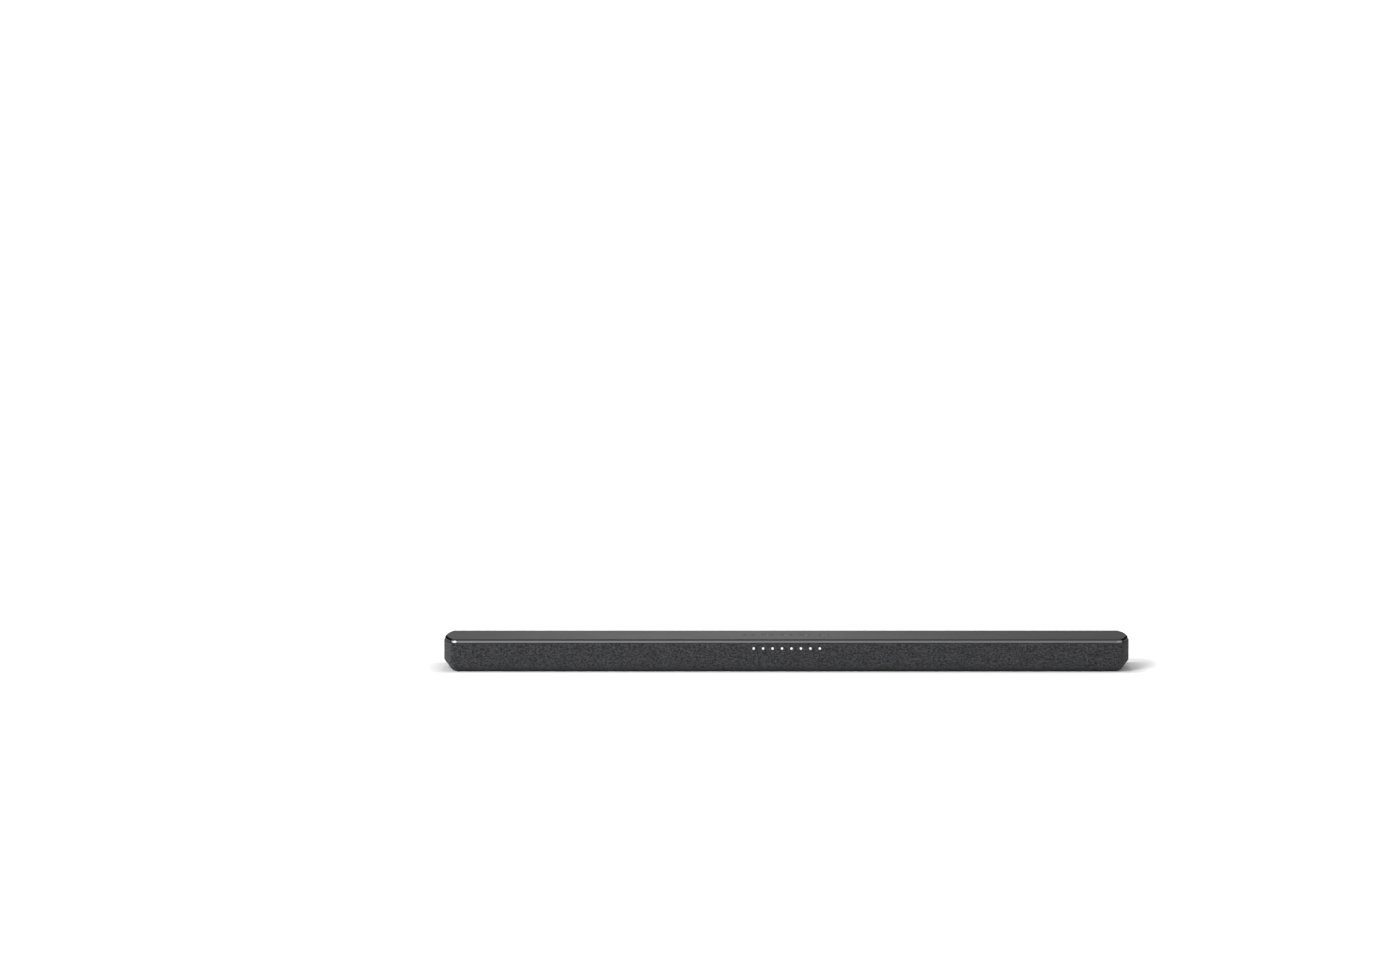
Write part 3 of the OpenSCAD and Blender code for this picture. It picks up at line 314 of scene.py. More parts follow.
def right_end(inset, drawn=0.0, back=None, corners=(corner_radius, corner_radius)):
    """The bar's right end in plan, moved inwards by inset, and back along the bar by drawn: the front corner, the
    bow, and the rear corner. With back the bow stops there. A corner's centre lies where its arc touches both the
    bow and the straight side: as far from the bow's centre as the bow's radius less its own."""
    bow, half = end_radius - inset, cad_high.y - inset
    middle = cad_high.x - end_radius - drawn
    ends, turns = [], []
    for side, radius in zip((-1, 1), corners):
        corner = max(radius - inset, least_radius)
        reach = math.sqrt((bow - corner) ** 2 - (half - corner) ** 2)
        turn = side * math.asin((half - corner) / (bow - corner))
        end = arc(middle + reach, side * (half - corner), corner, side * math.pi / 2, turn, corner_steps)
        ends.append(end[::-side])
        turns.append(turn)
    if back is not None:
        return np.vstack([ends[0], arc(middle, 0, bow, turns[0], math.asin(back / bow), short_bow_steps)[1:]])
    return np.vstack([ends[0], arc(middle, 0, bow, *turns, bow_steps)[1:-1], ends[1]])


def quads(rows, columns, closed=False):
    """The four-sided faces between neighbours of a grid of points. Where the columns go round to the left and the
    rows go up, they look outwards. closed joins the last column to the first."""
    up, along = np.meshgrid(np.arange(rows - 1), np.arange(columns if closed else columns - 1), indexing="ij")
    up, along = up.ravel() * columns, along.ravel()
    following = (along + 1) % columns
    return np.column_stack([up + along, up + following, up + columns + following, up + columns + along])


def skin(name, parts, uv=None):
    """A smooth-shaded object from one or more (points, faces) pairs, with points that coincide merged. uv gives
    each point its place on the flat cloth, in metres."""
    faces, start = [], 0
    for points, corners in parts:
        faces += (corners + start).tolist()
        start += len(points)
    mesh = bpy.data.meshes.new(name)
    mesh.from_pydata(np.vstack([points for points, _ in parts]), [], faces)
    if uv is not None:
        order = np.empty(len(mesh.loops), dtype=np.int32)
        mesh.loops.foreach_get("vertex_index", order)
        mesh.uv_layers.new(name="weave").data.foreach_set("uv", uv.reshape(-1, 2)[order].ravel())
    form = bmesh.new()
    form.from_mesh(mesh)
    bmesh.ops.remove_doubles(form, verts=form.verts, dist=1e-7)
    form.to_mesh(mesh)
    form.free()
    mesh.polygons.foreach_set("use_smooth", np.ones(len(mesh.polygons), dtype=bool))
    piece = bpy.data.objects.new(name, mesh)
    scene.collection.objects.link(piece)
    return piece


def lengths(points):
    """Distance along a line of points from its first one: the running sum of the gaps between neighbours."""
    return np.concatenate([[0], np.cumsum(np.linalg.norm(np.diff(points, axis=0), axis=1))])


# The profile is a line of (inset, height) points from the tuck over a small round edge, down the
# wall, round the roll, whose arc is level with the wall at its top, and in along the hem.
roll_radius = (roll_height ** 2 + roll_inset ** 2) / (2 * roll_inset)
roll_turn = math.asin(roll_height / roll_radius)
roll_top, above_roll = cloth_low.z + roll_height, 0.0003
round_edge = arc(tuck_radius, cloth_high.z - tuck_radius, tuck_radius, math.pi / 2, math.pi, 5)
heights = [*np.linspace(round_edge[-1, 1], roll_top, 10)[1:-1], roll_top + above_roll, roll_top]
wall = np.column_stack([np.zeros(len(heights)), heights])
rolled = arc(roll_radius, roll_top, roll_radius, math.pi, math.pi + roll_turn, 12)[1:]
insets = np.linspace(roll_inset, roll_inset + hem, 5)[1:]
hem_line = np.column_stack([insets, np.full(len(insets), cloth_low.z)])
profile = np.vstack([[[tuck, cloth_high.z]], round_edge, wall, rolled, hem_line])[::-1]

# Below the wall the ends are cut back in a straight line where the front follows the roll's arc.
# drawn is the cut less the arc's own inset at each height, and fades to nothing along the hem.
below = np.clip(roll_top - profile[:, 1], 0, None)
arc_inset = roll_radius - np.sqrt(roll_radius ** 2 - below ** 2)
to_hem = np.clip((roll_inset + hem - profile[:, 0]) / hem, 0, 1)
drawn = (end_cut * below / roll_height - arc_inset) * to_hem

rows = []
for (inset, height), pull in zip(profile, drawn):
    end = right_end(inset, pull, back=cloth_high.y)
    front = np.linspace(-end[0, 0], end[0, 0], 71)[1:-1]
    row = np.vstack([end[::-1] * (-1, 1), np.column_stack([front, np.full(len(front), end[0, 1])]), end])
    rows.append(np.column_stack([row, np.full(len(row), height)]))
points = np.array(rows)
around = lengths(points[-len(round_edge)])
across = lengths(profile)
uv = np.stack(np.meshgrid(around - around[-1] / 2, across), axis=-1)
cloth = skin("cloth", [(points.reshape(-1, 3), quads(*points.shape[:2]))], uv)
thick = cloth.modifiers.new("thickness", "SOLIDIFY")
thick.thickness, thick.offset = knit_thick, -1

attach(cloth, "bar")
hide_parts("grille_cloth")

# Stitches are columns of V-shaped loops. side runs from 0 to 1 and back across a stitch, and a leg
# stands highest midway; slant follows the V, and strand runs over one loop after the other.
stitches, taken, given = effect(
    "knit_stitches",
    {"Coordinates": ("vector", None), "Width": ("value", 0.0009), "Height": ("value", 0.0007)},
    {"Relief": "value", "Yarn": "value"},
)
parts = add(stitches, "SeparateXYZ", taken["Coordinates"]).node.outputs
half_wide = calc(stitches, "MULTIPLY", taken["Width"], 0.5)
half_tall = calc(stitches, "MULTIPLY", taken["Height"], 0.5)
side = calc(stitches, "DIVIDE", calc(stitches, "PINGPONG", parts[0], half_wide), half_wide)
slant = calc(stitches, "ADD", parts[1], calc(stitches, "MULTIPLY", side, half_wide))
strand = calc(stitches, "DIVIDE", calc(stitches, "PINGPONG", slant, half_tall), half_tall)
leg = calc(stitches, "SQRT", calc(stitches, "MULTIPLY", calc(stitches, "SUBTRACT", 1.0, side),
                                  calc(stitches, "MULTIPLY", side, 4.0)))
stitches.links.new(calc(stitches, "MULTIPLY", leg, calc(stitches, "POWER", strand, 0.6)), given["Relief"])
cell = add(stitches, "CombineXYZ", calc(stitches, "FLOOR", calc(stitches, "DIVIDE", parts[0], taken["Width"])),
           calc(stitches, "FLOOR", calc(stitches, "DIVIDE", slant, taken["Height"])), 0.0)
stitches.links.new(add(stitches, "TexWhiteNoise", cell), given["Yarn"])



def xyz(tree):
    """The three coordinates of a point's place on the piece."""
    return add(tree, "SeparateXYZ", on_piece(tree)).node.outputs


def far_from(tree, x, y):
    """How far a point is from where x and y are 0: the root of the sum of their squares."""
    return calc(tree, "SQRT", calc(tree, "ADD", calc(tree, "MULTIPLY", x, x), calc(tree, "MULTIPLY", y, y)))


# The lights stand in one row about the middle of the bar, the first ones half a pitch to either side.
lights, taken, given = effect(
    "row_of_lights",
    {"Count": ("value", 8.0), "Pitch": ("value", 0.011), "Height": ("value", 0.0279),
     "Radius": ("value", 0.0014)},
    {"Glow": "value"},
)
front_half = -0.03
parts = xyz(lights)
half_pitch = calc(lights, "MULTIPLY", taken["Pitch"], 0.5)
beside = calc(lights, "SUBTRACT", calc(lights, "PINGPONG", parts[0], taken["Pitch"]), half_pitch)
away = far_from(lights, beside, calc(lights, "SUBTRACT", parts[2], taken["Height"]))
spot = ramp(lights, calc(lights, "DIVIDE", away, taken["Radius"]), 1.15, 0.75)
row_end = calc(lights, "MULTIPLY", half_pitch, taken["Count"])
inside = calc(lights, "LESS_THAN", calc(lights, "ABSOLUTE", parts[0]), row_end)
in_front = calc(lights, "LESS_THAN", parts[1], front_half)
lights.links.new(calc(lights, "MULTIPLY", spot, calc(lights, "MULTIPLY", inside, in_front)), given["Glow"])

# Dark and light yarns are spun together in flecks, and vary slowly in patches. The gaps between
# stitches are darker with painted shade, and the roll that turns under the bar with a painted shadow.
dark_yarn, light_yarn = (0.0025, 0.0025, 0.003, 1), (0.082, 0.083, 0.088, 1)
# The roll's painted shadow: how dark it is at the bottom, and the heights between which it fades.
painted_roll_shadow, painted_roll_shadow_low, painted_roll_shadow_high = 0.35, 0.0015, 0.0065
knit, tree, shader = surface("knit", Roughness=0.93, Emission_Strength=1.3, Sheen_Weight=0.08,
                             Specular_IOR_Level=0.2)
weave = add(tree, "UVMap", uv_map="weave")
loops = use(tree, stitches, Coordinates=weave)
flecks = add(tree, "TexNoise", Vector=add(tree, "Mapping", Vector=weave, Scale=(330, 420, 1)), Scale=1.0,
             Detail=2.0, Roughness=0.7)
patches = add(tree, "TexNoise", Vector=add(tree, "Mapping", Vector=weave, Scale=(60, 160, 1)), Scale=1.0,
              Detail=2.0)
spun = calc(tree, "ADD", calc(tree, "MULTIPLY", flecks, 0.75), calc(tree, "MULTIPLY", loops["Yarn"], 0.25))
heather = calc(tree, "ADD", calc(tree, "MULTIPLY", spun, 0.85), calc(tree, "MULTIPLY", patches, 0.15))
tone = add(tree, "ValToRGB", heather)
stops = tone.node.color_ramp.elements
stops[0].position, stops[0].color = 0.36, dark_yarn
stops[1].position, stops[1].color = 0.66, light_yarn
# Painted shade: darker in the gaps between stitches, and on the roll under the bar.
stitch_gap_shade = ramp(tree, loops["Relief"], 0.0, 0.55, low=0.55)
painted_under_shadow = ramp(tree, xyz(tree)[2], painted_roll_shadow_low, painted_roll_shadow_high, low=painted_roll_shadow)
tree.links.new(scaled(tree, tone, calc(tree, "MULTIPLY", stitch_gap_shade, painted_under_shadow)), shader.inputs["Base Color"])
shining = calc(tree, "MULTIPLY", use(tree, lights)["Glow"], ramp(tree, loops["Relief"], 0.0, 0.8, low=0.7))
tree.links.new(shining, shader.inputs["Emission Color"])
relief(tree, shader, loops["Relief"], depth=0.00022)
cloth.data.materials.append(knit)

# ---- Top cover ---------------------------------------------------------------------------------
# One long moulding in dark satin plastic: a flat plate with a bevelled rim and an upright lip over
# the cloth's edge. Bosses and ribs under it take the housing's screws and the key board's.

cover_low, cover_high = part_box("top_cover")
rim_inset, bevel, lip, skin_inset, plate = 0.0012, 0.002, 0.0023, 0.0033, 0.0025
edge, shoulder, border = 0.0003, 0.0007, 0.002
cover_corners = (0.010, 0.0035)
hole, collar_width = 0.0065, 0.0006


def rounded(corners, radii, steps=4):
    """A line of (inset, height) points with each inner corner turned on an arc that touches both its legs."""
    corners = [Vector(c) for c in corners]
    line = [corners[0]]
    for before, corner, after, radius in zip(corners, corners[1:], corners[2:], radii):
        to, fro = (before - corner).normalized(), (after - corner).normalized()
        half = to.angle(fro) / 2
        centre = corner + (to + fro).normalized() * radius / math.sin(half)
        first = (corner + to * radius / math.tan(half) - centre).normalized()
        last = (corner + fro * radius / math.tan(half) - centre).normalized()
        line += [centre + first.slerp(last, k / steps) * radius for k in range(steps + 1)]
    return np.array([*line, corners[-1]])


def ring(inset):
    """The cover's whole outline in plan, moved inwards by inset, going round to the left."""
    end = right_end(inset, corners=cover_corners)
    return np.vstack([end, end[::-1] * (-1, 1)])


def circle(centre, radius, steps):
    """Points round a circle in plan, without the last, which is the first again."""
    return arc(centre[0], centre[1], radius, 0, 2 * math.pi, steps)[:-1]


def at(points, height):
    """Plan points lifted to a height."""
    return np.column_stack([points, np.full(len(points), height)])


def flat_with_holes(outer, holes, height, up):
    """Triangles that fill an outline between its round holes, looking up or down, at that height. A triangle is
    left out where its middle lies nearer to a hole's centre than the hole's edge does."""
    points, edges = np.vstack([outer, *holes]), []
    for one in (outer, *holes):
        here = len(edges) + np.arange(len(one))
        edges += np.column_stack([here, np.roll(here, -1)]).tolist()
    got = delaunay_2d_cdt(points.tolist(), edges, [], 1, 1e-7)
    flat, faces = np.array(got[0]), np.array(got[2])
    for one in holes:
        centre = one.mean(axis=0)
        away = np.linalg.norm(flat[faces].mean(axis=1) - centre, axis=1)
        faces = faces[away > np.linalg.norm(one[0] - centre)]
    return at(flat, height), faces if up else faces[:, ::-1]


def through(levels):
    """Points and faces of a tube through closed rings of (x, y, z) points, one ring after the other."""
    return np.vstack(levels), quads(len(levels), len(levels[0]), closed=True)


def turned(centre, profile, steps=32):
    """A body of revolution about an upright axis at a centre in plan, through (radius, height) points. It looks
    outwards where the profile goes up, and towards the axis where it goes down."""
    return through([at(circle(centre, radius, steps), height) for radius, height in profile])


keys = {name: (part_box(f"key_{name}")[0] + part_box(f"key_{name}")[1]) / 2
        for name in ("minus", "plus", "power", "source", "play")}
under, step = cover_high.z - plate, cover_high.z - bevel
rim = rounded([(skin_inset, under), (skin_inset, step - lip), (rim_inset, step - lip), (rim_inset, step),
               (rim_inset + bevel, cover_high.z), (rim_inset + bevel + border, cover_high.z)],
              (edge, edge, shoulder, edge))
turn = np.linspace(0, math.pi / 2, 4)
round_hole = np.column_stack([hole + edge * (1 - np.sin(turn)), cover_high.z - edge * (1 - np.cos(turn))])
collar = hole + edge + collar_width
hole_profile = [(collar, cover_high.z), *round_hole, (hole, under)]
wide, narrow = ([circle(middle, radius, 48) for middle in keys.values()] for radius in (collar, hole))
parts = [through([at(ring(inset), height) for inset, height in rim]),
         flat_with_holes(ring(rim[-1, 0]), wide, cover_high.z, up=True),
         flat_with_holes(ring(rim[0, 0]), narrow, under, up=False)]
parts += [turned(middle, hole_profile, 48) for middle in keys.values()]

# Blind bosses stand over the housing's screw columns, blind posts take the key board, and two ribs
# on each side stiffen the plate. The holes end 1 mm inside the plate.
blind = under - 0.001
boss_bore, boss_radius, boss_end = 0.00155, 0.0034, cover_low.z
post_bore, post_radius, post_end = 0.0011, 0.0028, 0.0306
boss = [(0, blind), (boss_bore, blind), (boss_bore, boss_end), (boss_radius, boss_end), (boss_radius, under)]
post = [(0, blind), (post_bore, blind), (post_bore, post_end), (post_radius, post_end), (post_radius, under)]
end_screw, screw_columns, screw_rows = (0.376, 0.002), (0.222, 0.078), (0.028, -0.017)
post_x, post_y = 0.063, 0.0085
parts += [turned((side * x, y), boss) for side in (-1, 1)
          for x, y in (end_screw, *((x, y) for x in screw_columns for y in screw_rows))]
parts += [turned((x, y), post) for x in (-post_x, post_x) for y in (-post_y, post_y)]
rib_x, rib_y, rib_long, rib_thick, rib_deep = 0.1565, 0.022, 0.135, 0.0016, 0.0016
rib = np.array([(1, -1), (1, 1), (-1, 1), (-1, -1)]) * (rib_long / 2, rib_thick / 2)
for x in (-rib_x, rib_x):
    for y in (-rib_y, rib_y):
        points, faces = through([at(rib + (x, y), under - rib_deep), at(rib + (x, y), under)])
        parts.append((points, np.vstack([faces, [3, 2, 1, 0]])))
cover = skin("cover", parts)
cover.modifiers.new("even_shading", "WEIGHTED_NORMAL").keep_sharp = True

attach(cover, "bar")
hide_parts("top_cover")


def metallised(name, shade, roughness):
    """A bright film on moulded plastic."""
    return moulded(name, (shade, shade, shade * 1.02), roughness, grain_size=0.0005, depth=None, mottle=0.1,
                   dust=0.0, Metallic=0.8)


satin_colour, satin_rough, satin_gloss = (0.018, 0.018, 0.019), 0.55, 0.045
finishes = {
    "plate": moulded("satin_cover", satin_colour, satin_rough, grain_size=0.0004, depth=0.000008, mottle=0.08,
                     dust=0.02, Specular_IOR_Level=satin_gloss),
    "bevel": moulded("bevel_black", (0.036, 0.036, 0.038), 0.35, grain_size=0.0004, depth=0.000004, mottle=0.08,
                     dust=0.02, Specular_IOR_Level=0.1),
    # Painted shade: the bevel nearly black round the bows, for the dark band at the ends.
    "end_bevel": moulded("painted_shade_bevel", (0.006, 0.006, 0.007), 0.6, grain_size=0.0004, depth=0.000004,
                         mottle=0.1, dust=0.02, Specular_IOR_Level=0.0),
    "lip": metallised("lip_metallised", 0.14, 0.28),
    "shoulder": metallised("shoulder_polished", 0.18, 0.12),
    # Painted shade: the lip dark round the bows, for the dark band at the ends.
    "end_lip": moulded("painted_shade_lip", (0.03, 0.03, 0.032), 0.6, grain_size=0.0004, depth=0.000004, mottle=0.1,
                       dust=0.02, Specular_IOR_Level=0.1),
    "corner_lip": metallised("corner_polished", 0.22, 0.3),
}
for material in finishes.values():
    cover.data.materials.append(material)
number = {label: k for k, label in enumerate(finishes)}

# The rim's faces lie within rim_reach of the cover's outline and aren't level. Towards the ends the
# bevel is painted black as shade from end_start on, and the lip is polished from polish_start and painted dark as
# shade from shade_lip_start.
rim_reach, end_start, shade_lip_start, polish_start = 0.006, 0.3895, 0.3901, 0.384
count = len(cover.data.polygons)
middles, facing = np.empty(3 * count, dtype=np.float32), np.empty(3 * count, dtype=np.float32)
cover.data.polygons.foreach_get("center", middles)
cover.data.polygons.foreach_get("normal", facing)
middles, up = np.abs(middles.reshape(-1, 3)), np.abs(facing.reshape(-1, 3)[:, 2])
aside, deep, height = middles.T
bow_middle = cad_high.x - end_radius
on_bow = (aside > bow_middle) & (np.hypot(aside - bow_middle, deep) > end_radius - rim_reach)
on_rim = on_bow | (deep > cad_high.y - rim_reach)
rim_face = on_rim & (up < 0.99) & (height > step - lip - 0.0001)
bevel_face = rim_face & (height > step + 0.0003)
lip_face = rim_face & ~bevel_face
finish = np.full(count, number["plate"])
for label, chosen in (("bevel", bevel_face), ("end_bevel", bevel_face & (aside > end_start)),
                      ("lip", lip_face), ("shoulder", lip_face & (up > 0.1)),
                      ("corner_lip", lip_face & (aside > polish_start)),
                      ("end_lip", lip_face & (aside > shade_lip_start))):
    finish[chosen] = number[label]
cover.data.polygons.foreach_set("material_index", finish.astype(np.int32))

# ---- Keys --------------------------------------------------------------------------------------
# Five round caps in the cover's plastic, flush with it, each with a shallow dish for the finger and
# a generic sign printed in white. A flange under the cover keeps each cap in its hole.

key_low, key_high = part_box("key_power")
cap, cap_edge, dish_deep = 0.0062, 0.0005, 0.00025
flange, flange_radius, flange_thick, stem_radius = 0.0347, 0.0078, 0.001, 0.0022
dish = np.linspace(0, cap - cap_edge, 9)
turn = np.linspace(0, math.pi / 2, 5)[1:]
dished = np.column_stack([dish, key_high.z - dish_deep * (1 - (dish / dish[-1]) ** 2)])
round_cap = np.column_stack([cap - cap_edge * (1 - np.sin(turn)), key_high.z - cap_edge * (1 - np.cos(turn))])
flange_foot = flange - flange_thick
cap_profile = [*dished, *round_cap, (cap, flange), (flange_radius, flange), (flange_radius, flange_foot),
               (stem_radius, flange_foot), (stem_radius, key_low.z), (0, key_low.z)]

# The signs are made of bars, rings and arrows. Each group works out how far a point lies outside its
# shape, and the ink ends over the small distance of a soft printed edge.
ink_colour, soft_edge, arrow_slope = (0.25, 0.25, 0.26), 0.00004, 0.62


def mark(name, inputs):
    """A group that gives 1 inside a printed shape: (tree, sockets in, sockets out, x and y from its middle)."""
    tree, taken, given = effect(name, {"X": ("value", 0.0), "Y": ("value", 0.0), **inputs}, {"Ink": "value"})
    place = xyz(tree)
    return tree, taken, given, [calc(tree, "SUBTRACT", place[k], taken["XY"[k]]) for k in (0, 1)]


bar_mark, taken, given, (x, y) = mark("print_bar", {"Half X": ("value", 0.002), "Half Y": ("value", 0.0003)})
over = calc(bar_mark, "MAXIMUM", calc(bar_mark, "SUBTRACT", calc(bar_mark, "ABSOLUTE", x), taken["Half X"]),
            calc(bar_mark, "SUBTRACT", calc(bar_mark, "ABSOLUTE", y), taken["Half Y"]))
bar_mark.links.new(ramp(bar_mark, over, soft_edge, -soft_edge), given["Ink"])

ring_mark, taken, given, (x, y) = mark("print_ring", {"Radius": ("value", 0.002),
                                                      "Half width": ("value", 0.0003)})
off_ring = calc(ring_mark, "SUBTRACT", far_from(ring_mark, x, y), taken["Radius"])
over = calc(ring_mark, "SUBTRACT", calc(ring_mark, "ABSOLUTE", off_ring), taken["Half width"])
ring_mark.links.new(ramp(ring_mark, over, soft_edge, -soft_edge), given["Ink"])

arrow_mark, taken, given, (x, y) = mark("print_arrow", {"Length": ("value", 0.002)})
side = calc(arrow_mark, "SUBTRACT", calc(arrow_mark, "ABSOLUTE", y),
            calc(arrow_mark, "MULTIPLY", calc(arrow_mark, "SUBTRACT", taken["Length"], x), arrow_slope))
over = calc(arrow_mark, "MAXIMUM", side, calc(arrow_mark, "MULTIPLY", x, -1.0))
arrow_mark.links.new(ramp(arrow_mark, over, soft_edge, -soft_edge), given["Ink"])

signs = {
    "minus": [(bar_mark, dict(Half_X=0.0023, Half_Y=0.0004))],
    "plus": [(bar_mark, dict(Half_X=0.0023, Half_Y=0.0003)), (bar_mark, dict(Half_X=0.0003, Half_Y=0.0023))],
    "power": [(ring_mark, dict(Radius=0.0023)), (bar_mark, dict(Y=0.0022, Half_X=0.0009, Half_Y=0.0011), "cut"),
              (bar_mark, dict(Y=0.0016, Half_X=0.0003, Half_Y=0.0014))],
    "source": [(bar_mark, dict(X=0.0021, Half_X=0.0003, Half_Y=0.0021)),
               (bar_mark, dict(X=0.0009, Y=0.0018, Half_X=0.0013)),
               (bar_mark, dict(X=0.0009, Y=-0.0018, Half_X=0.0013)),
               (bar_mark, dict(X=-0.0014, Half_X=0.0014)), (arrow_mark, dict(X=-0.0002, Length=0.0015))],
    "play": [(arrow_mark, dict(X=-0.0026, Length=0.0028)),
             (bar_mark, dict(X=0.0013, Half_X=0.0003, Half_Y=0.0016)),
             (bar_mark, dict(X=0.0024, Half_X=0.0003, Half_Y=0.0016))],
}
for name, middle in keys.items():
    key = skin(f"cap_{name}", [turned(middle, cap_profile[::-1], 48)])
    key.modifiers.new("even_shading", "WEIGHTED_NORMAL")
    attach(key, f"pressed_{name}")
    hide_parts(f"key_{name}")
    cap_plastic, tree, shader = surface(f"key_{name}_plastic", Specular_IOR_Level=satin_gloss)
    ink = 0.0
    for shape, values, *cut in signs[name]:
        part = use(tree, shape, **{**values, "X": values.get("X", 0.0) + middle.x})["Ink"]
        if cut:
            ink = calc(tree, "MULTIPLY", ink, calc(tree, "SUBTRACT", 1.0, part))
        else:
            ink = calc(tree, "MAXIMUM", ink, part)
    ink = calc(tree, "MULTIPLY", ink, calc(tree, "GREATER_THAN", xyz(tree)[2], key_high.z - cap_edge))
    got = use(tree, grain, Colour=(*satin_colour, 1), Roughness=satin_rough, Grain_size=0.0004, Mottle=0.08,
              Dust=0.02)
    dress(tree, shader, got, depth=0.000008)
    tree.links.new(mix(tree, ink, got["Colour"], ink_colour), shader.inputs["Base Color"])
    key.data.materials.append(cap_plastic)
finish_nodes(moulded("plunger_nylon", (0.012, 0.012, 0.012), 0.45), *[f"plunger_{name}" for name in keys])

# ---- Lights and receiver -----------------------------------------------------------------------
# Eight white diodes on a small board shine through clear acrylic pipes onto the back of the cloth.
# The infrared receiver beside them sits behind a dark red lens.


def inside_box(tree, low, high):
    """1 where the surface lies inside a box between two corners, and 0 elsewhere: where its distance from the
    middle is less than half the box along each axis."""
    centre = [(a + b) / 2 for a, b in zip(low, high)]
    from_centre = add(tree, "VectorMath", on_piece(tree), centre, operation="SUBTRACT")
    reach = add(tree, "SeparateXYZ", add(tree, "VectorMath", from_centre, operation="ABSOLUTE")).node.outputs
    x, y, z = [calc(tree, "LESS_THAN", reach[k], (high[k] - low[k]) / 2) for k in range(3)]
    return calc(tree, "MULTIPLY", calc(tree, "MULTIPLY", x, y), z)


acrylic = moulded("clear_acrylic", (0.9, 0.92, 0.94), 0.12, grain_size=0.0008, depth=None, mottle=0.04,
                  dust=0.02, IOR=1.49, Transmission_Weight=0.9)
lens = moulded("dark_lens", (0.03, 0.008, 0.01), 0.12, grain_size=0.0008, depth=None, mottle=0.1, dust=0.02,
               IOR=1.55, Coat_Weight=0.3, Coat_Roughness=0.05)
finish_nodes(acrylic, "light_guide")
finish_nodes(lens, "infrared_receiver")

circuit, taken, given = effect(
    "circuit_board",
    {"Mask": ("colour", (0.02, 0.09, 0.04, 1)), "Part": ("value", 0.0),
     "Part colour": ("colour", (0.01, 0.01, 0.01, 1)), "Pitch": ("value", 0.0025)},
    {"Colour": "colour", "Roughness": "value", "Metallic": "value", "Height": "value"},
)
# Tracks run along the edges of irregular cells, and a tinned pad lies in the middle of each.
tin = (0.62, 0.6, 0.55)
place = on_piece(circuit)
pads_per_metre = calc(circuit, "DIVIDE", 1.0, taken["Pitch"])
streets = add(circuit, "TexVoronoi", Vector=place, Scale=pads_per_metre, feature="DISTANCE_TO_EDGE",
              Randomness=0.75)
track = ramp(circuit, streets, 0.1, 0.06)
dots = add(circuit, "TexVoronoi", Vector=place, Scale=pads_per_metre, Randomness=0.75)
bare = calc(circuit, "SUBTRACT", 1.0, taken["Part"])
pad = calc(circuit, "MULTIPLY", ramp(circuit, dots, 0.17, 0.13), bare)
brighter = scaled(circuit, taken["Mask"], 1.9)
shade = mix(circuit, calc(circuit, "MULTIPLY", track, bare), taken["Mask"], brighter)
shade = mix(circuit, pad, shade, tin)
circuit.links.new(mix(circuit, taken["Part"], shade, taken["Part colour"]), given["Colour"])
circuit.links.new(mix(circuit, taken["Part"], 0.28, 0.5, "FLOAT"), given["Roughness"])
circuit.links.new(pad, given["Metallic"])
circuit.links.new(calc(circuit, "MAXIMUM", track, pad), given["Height"])


def board_finish(name, mask, low, high, part=(0.012, 0.012, 0.013), pitch=0.0025):
    """Solder mask with tracks and tinned pads inside the box that the bare board fills, and the parts' own colour
    everywhere else."""
    material, tree, shader = surface(name)
    bare = inside_box(tree, low, high)
    got = use(tree, circuit, Mask=(*mask, 1), Part=calc(tree, "SUBTRACT", 1.0, bare), Part_colour=(*part, 1),
              Pitch=pitch)
    dress(tree, shader, got, depth=0.00003)
    return material


fibre_green, fibre_brown = (0.015, 0.075, 0.035), (0.19, 0.1, 0.03)
low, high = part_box("led_board")
bare_front = high.y - 0.00125
finish_nodes(board_finish("light_board", fibre_green, (low.x, bare_front, low.z), high, part=(0.8, 0.8, 0.72),
                          pitch=0.002), "led_board")

# ---- Connectors --------------------------------------------------------------------------------
# The sockets look out of a recessed panel at the back: pressed steel shells for video and USB, black
# nylon for the optical, audio and mains ones, with plated contacts.

plating, taken, given = effect(
    "plated_metal",
    {"Colour": ("colour", (0.6, 0.6, 0.6, 1)), "Roughness": ("value", 0.3), "Grain size": ("value", 0.002),
     "Mottle": ("value", 0.15)},
    {"Colour": "colour", "Roughness": "value", "Height": "value"},
)
# Spangle is the slow pattern of the crystals, and scratch is fine and drawn out along the part.
place = on_piece(plating)
stretch = add(plating, "VectorMath", place, (0.15, 1, 1), operation="MULTIPLY")
scratch = add(plating, "TexNoise", Vector=stretch, Scale=calc(plating, "DIVIDE", 6.0, taken["Grain size"]),
              Detail=3.0, Roughness=0.7)
spangle = add(plating, "TexNoise", Vector=place, Scale=calc(plating, "DIVIDE", 1.0, taken["Grain size"]),
              Detail=3.0)
swing = calc(plating, "MULTIPLY", calc(plating, "SUBTRACT", spangle, 0.5), taken["Mottle"])
plating.links.new(scaled(plating, taken["Colour"], calc(plating, "ADD", swing, 1.0)), given["Colour"])
uneven = calc(plating, "ADD", swing, calc(plating, "MULTIPLY", calc(plating, "SUBTRACT", scratch, 0.5), 0.2))
plating.links.new(calc(plating, "ADD", taken["Roughness"], uneven, clamp=True), given["Roughness"])
plating.links.new(scratch, given["Height"])


def plated(name, colour, roughness, grain_size=0.002, mottle=0.15, depth=0.00001, **settings):
    """Bare or plated metal with the plating group on it."""
    material, tree, shader = surface(name, Metallic=1.0, **settings)
    got = use(tree, plating, Colour=(*colour, 1), Roughness=roughness, Grain_size=grain_size, Mottle=mottle)
    dress(tree, shader, got, depth)
    return material


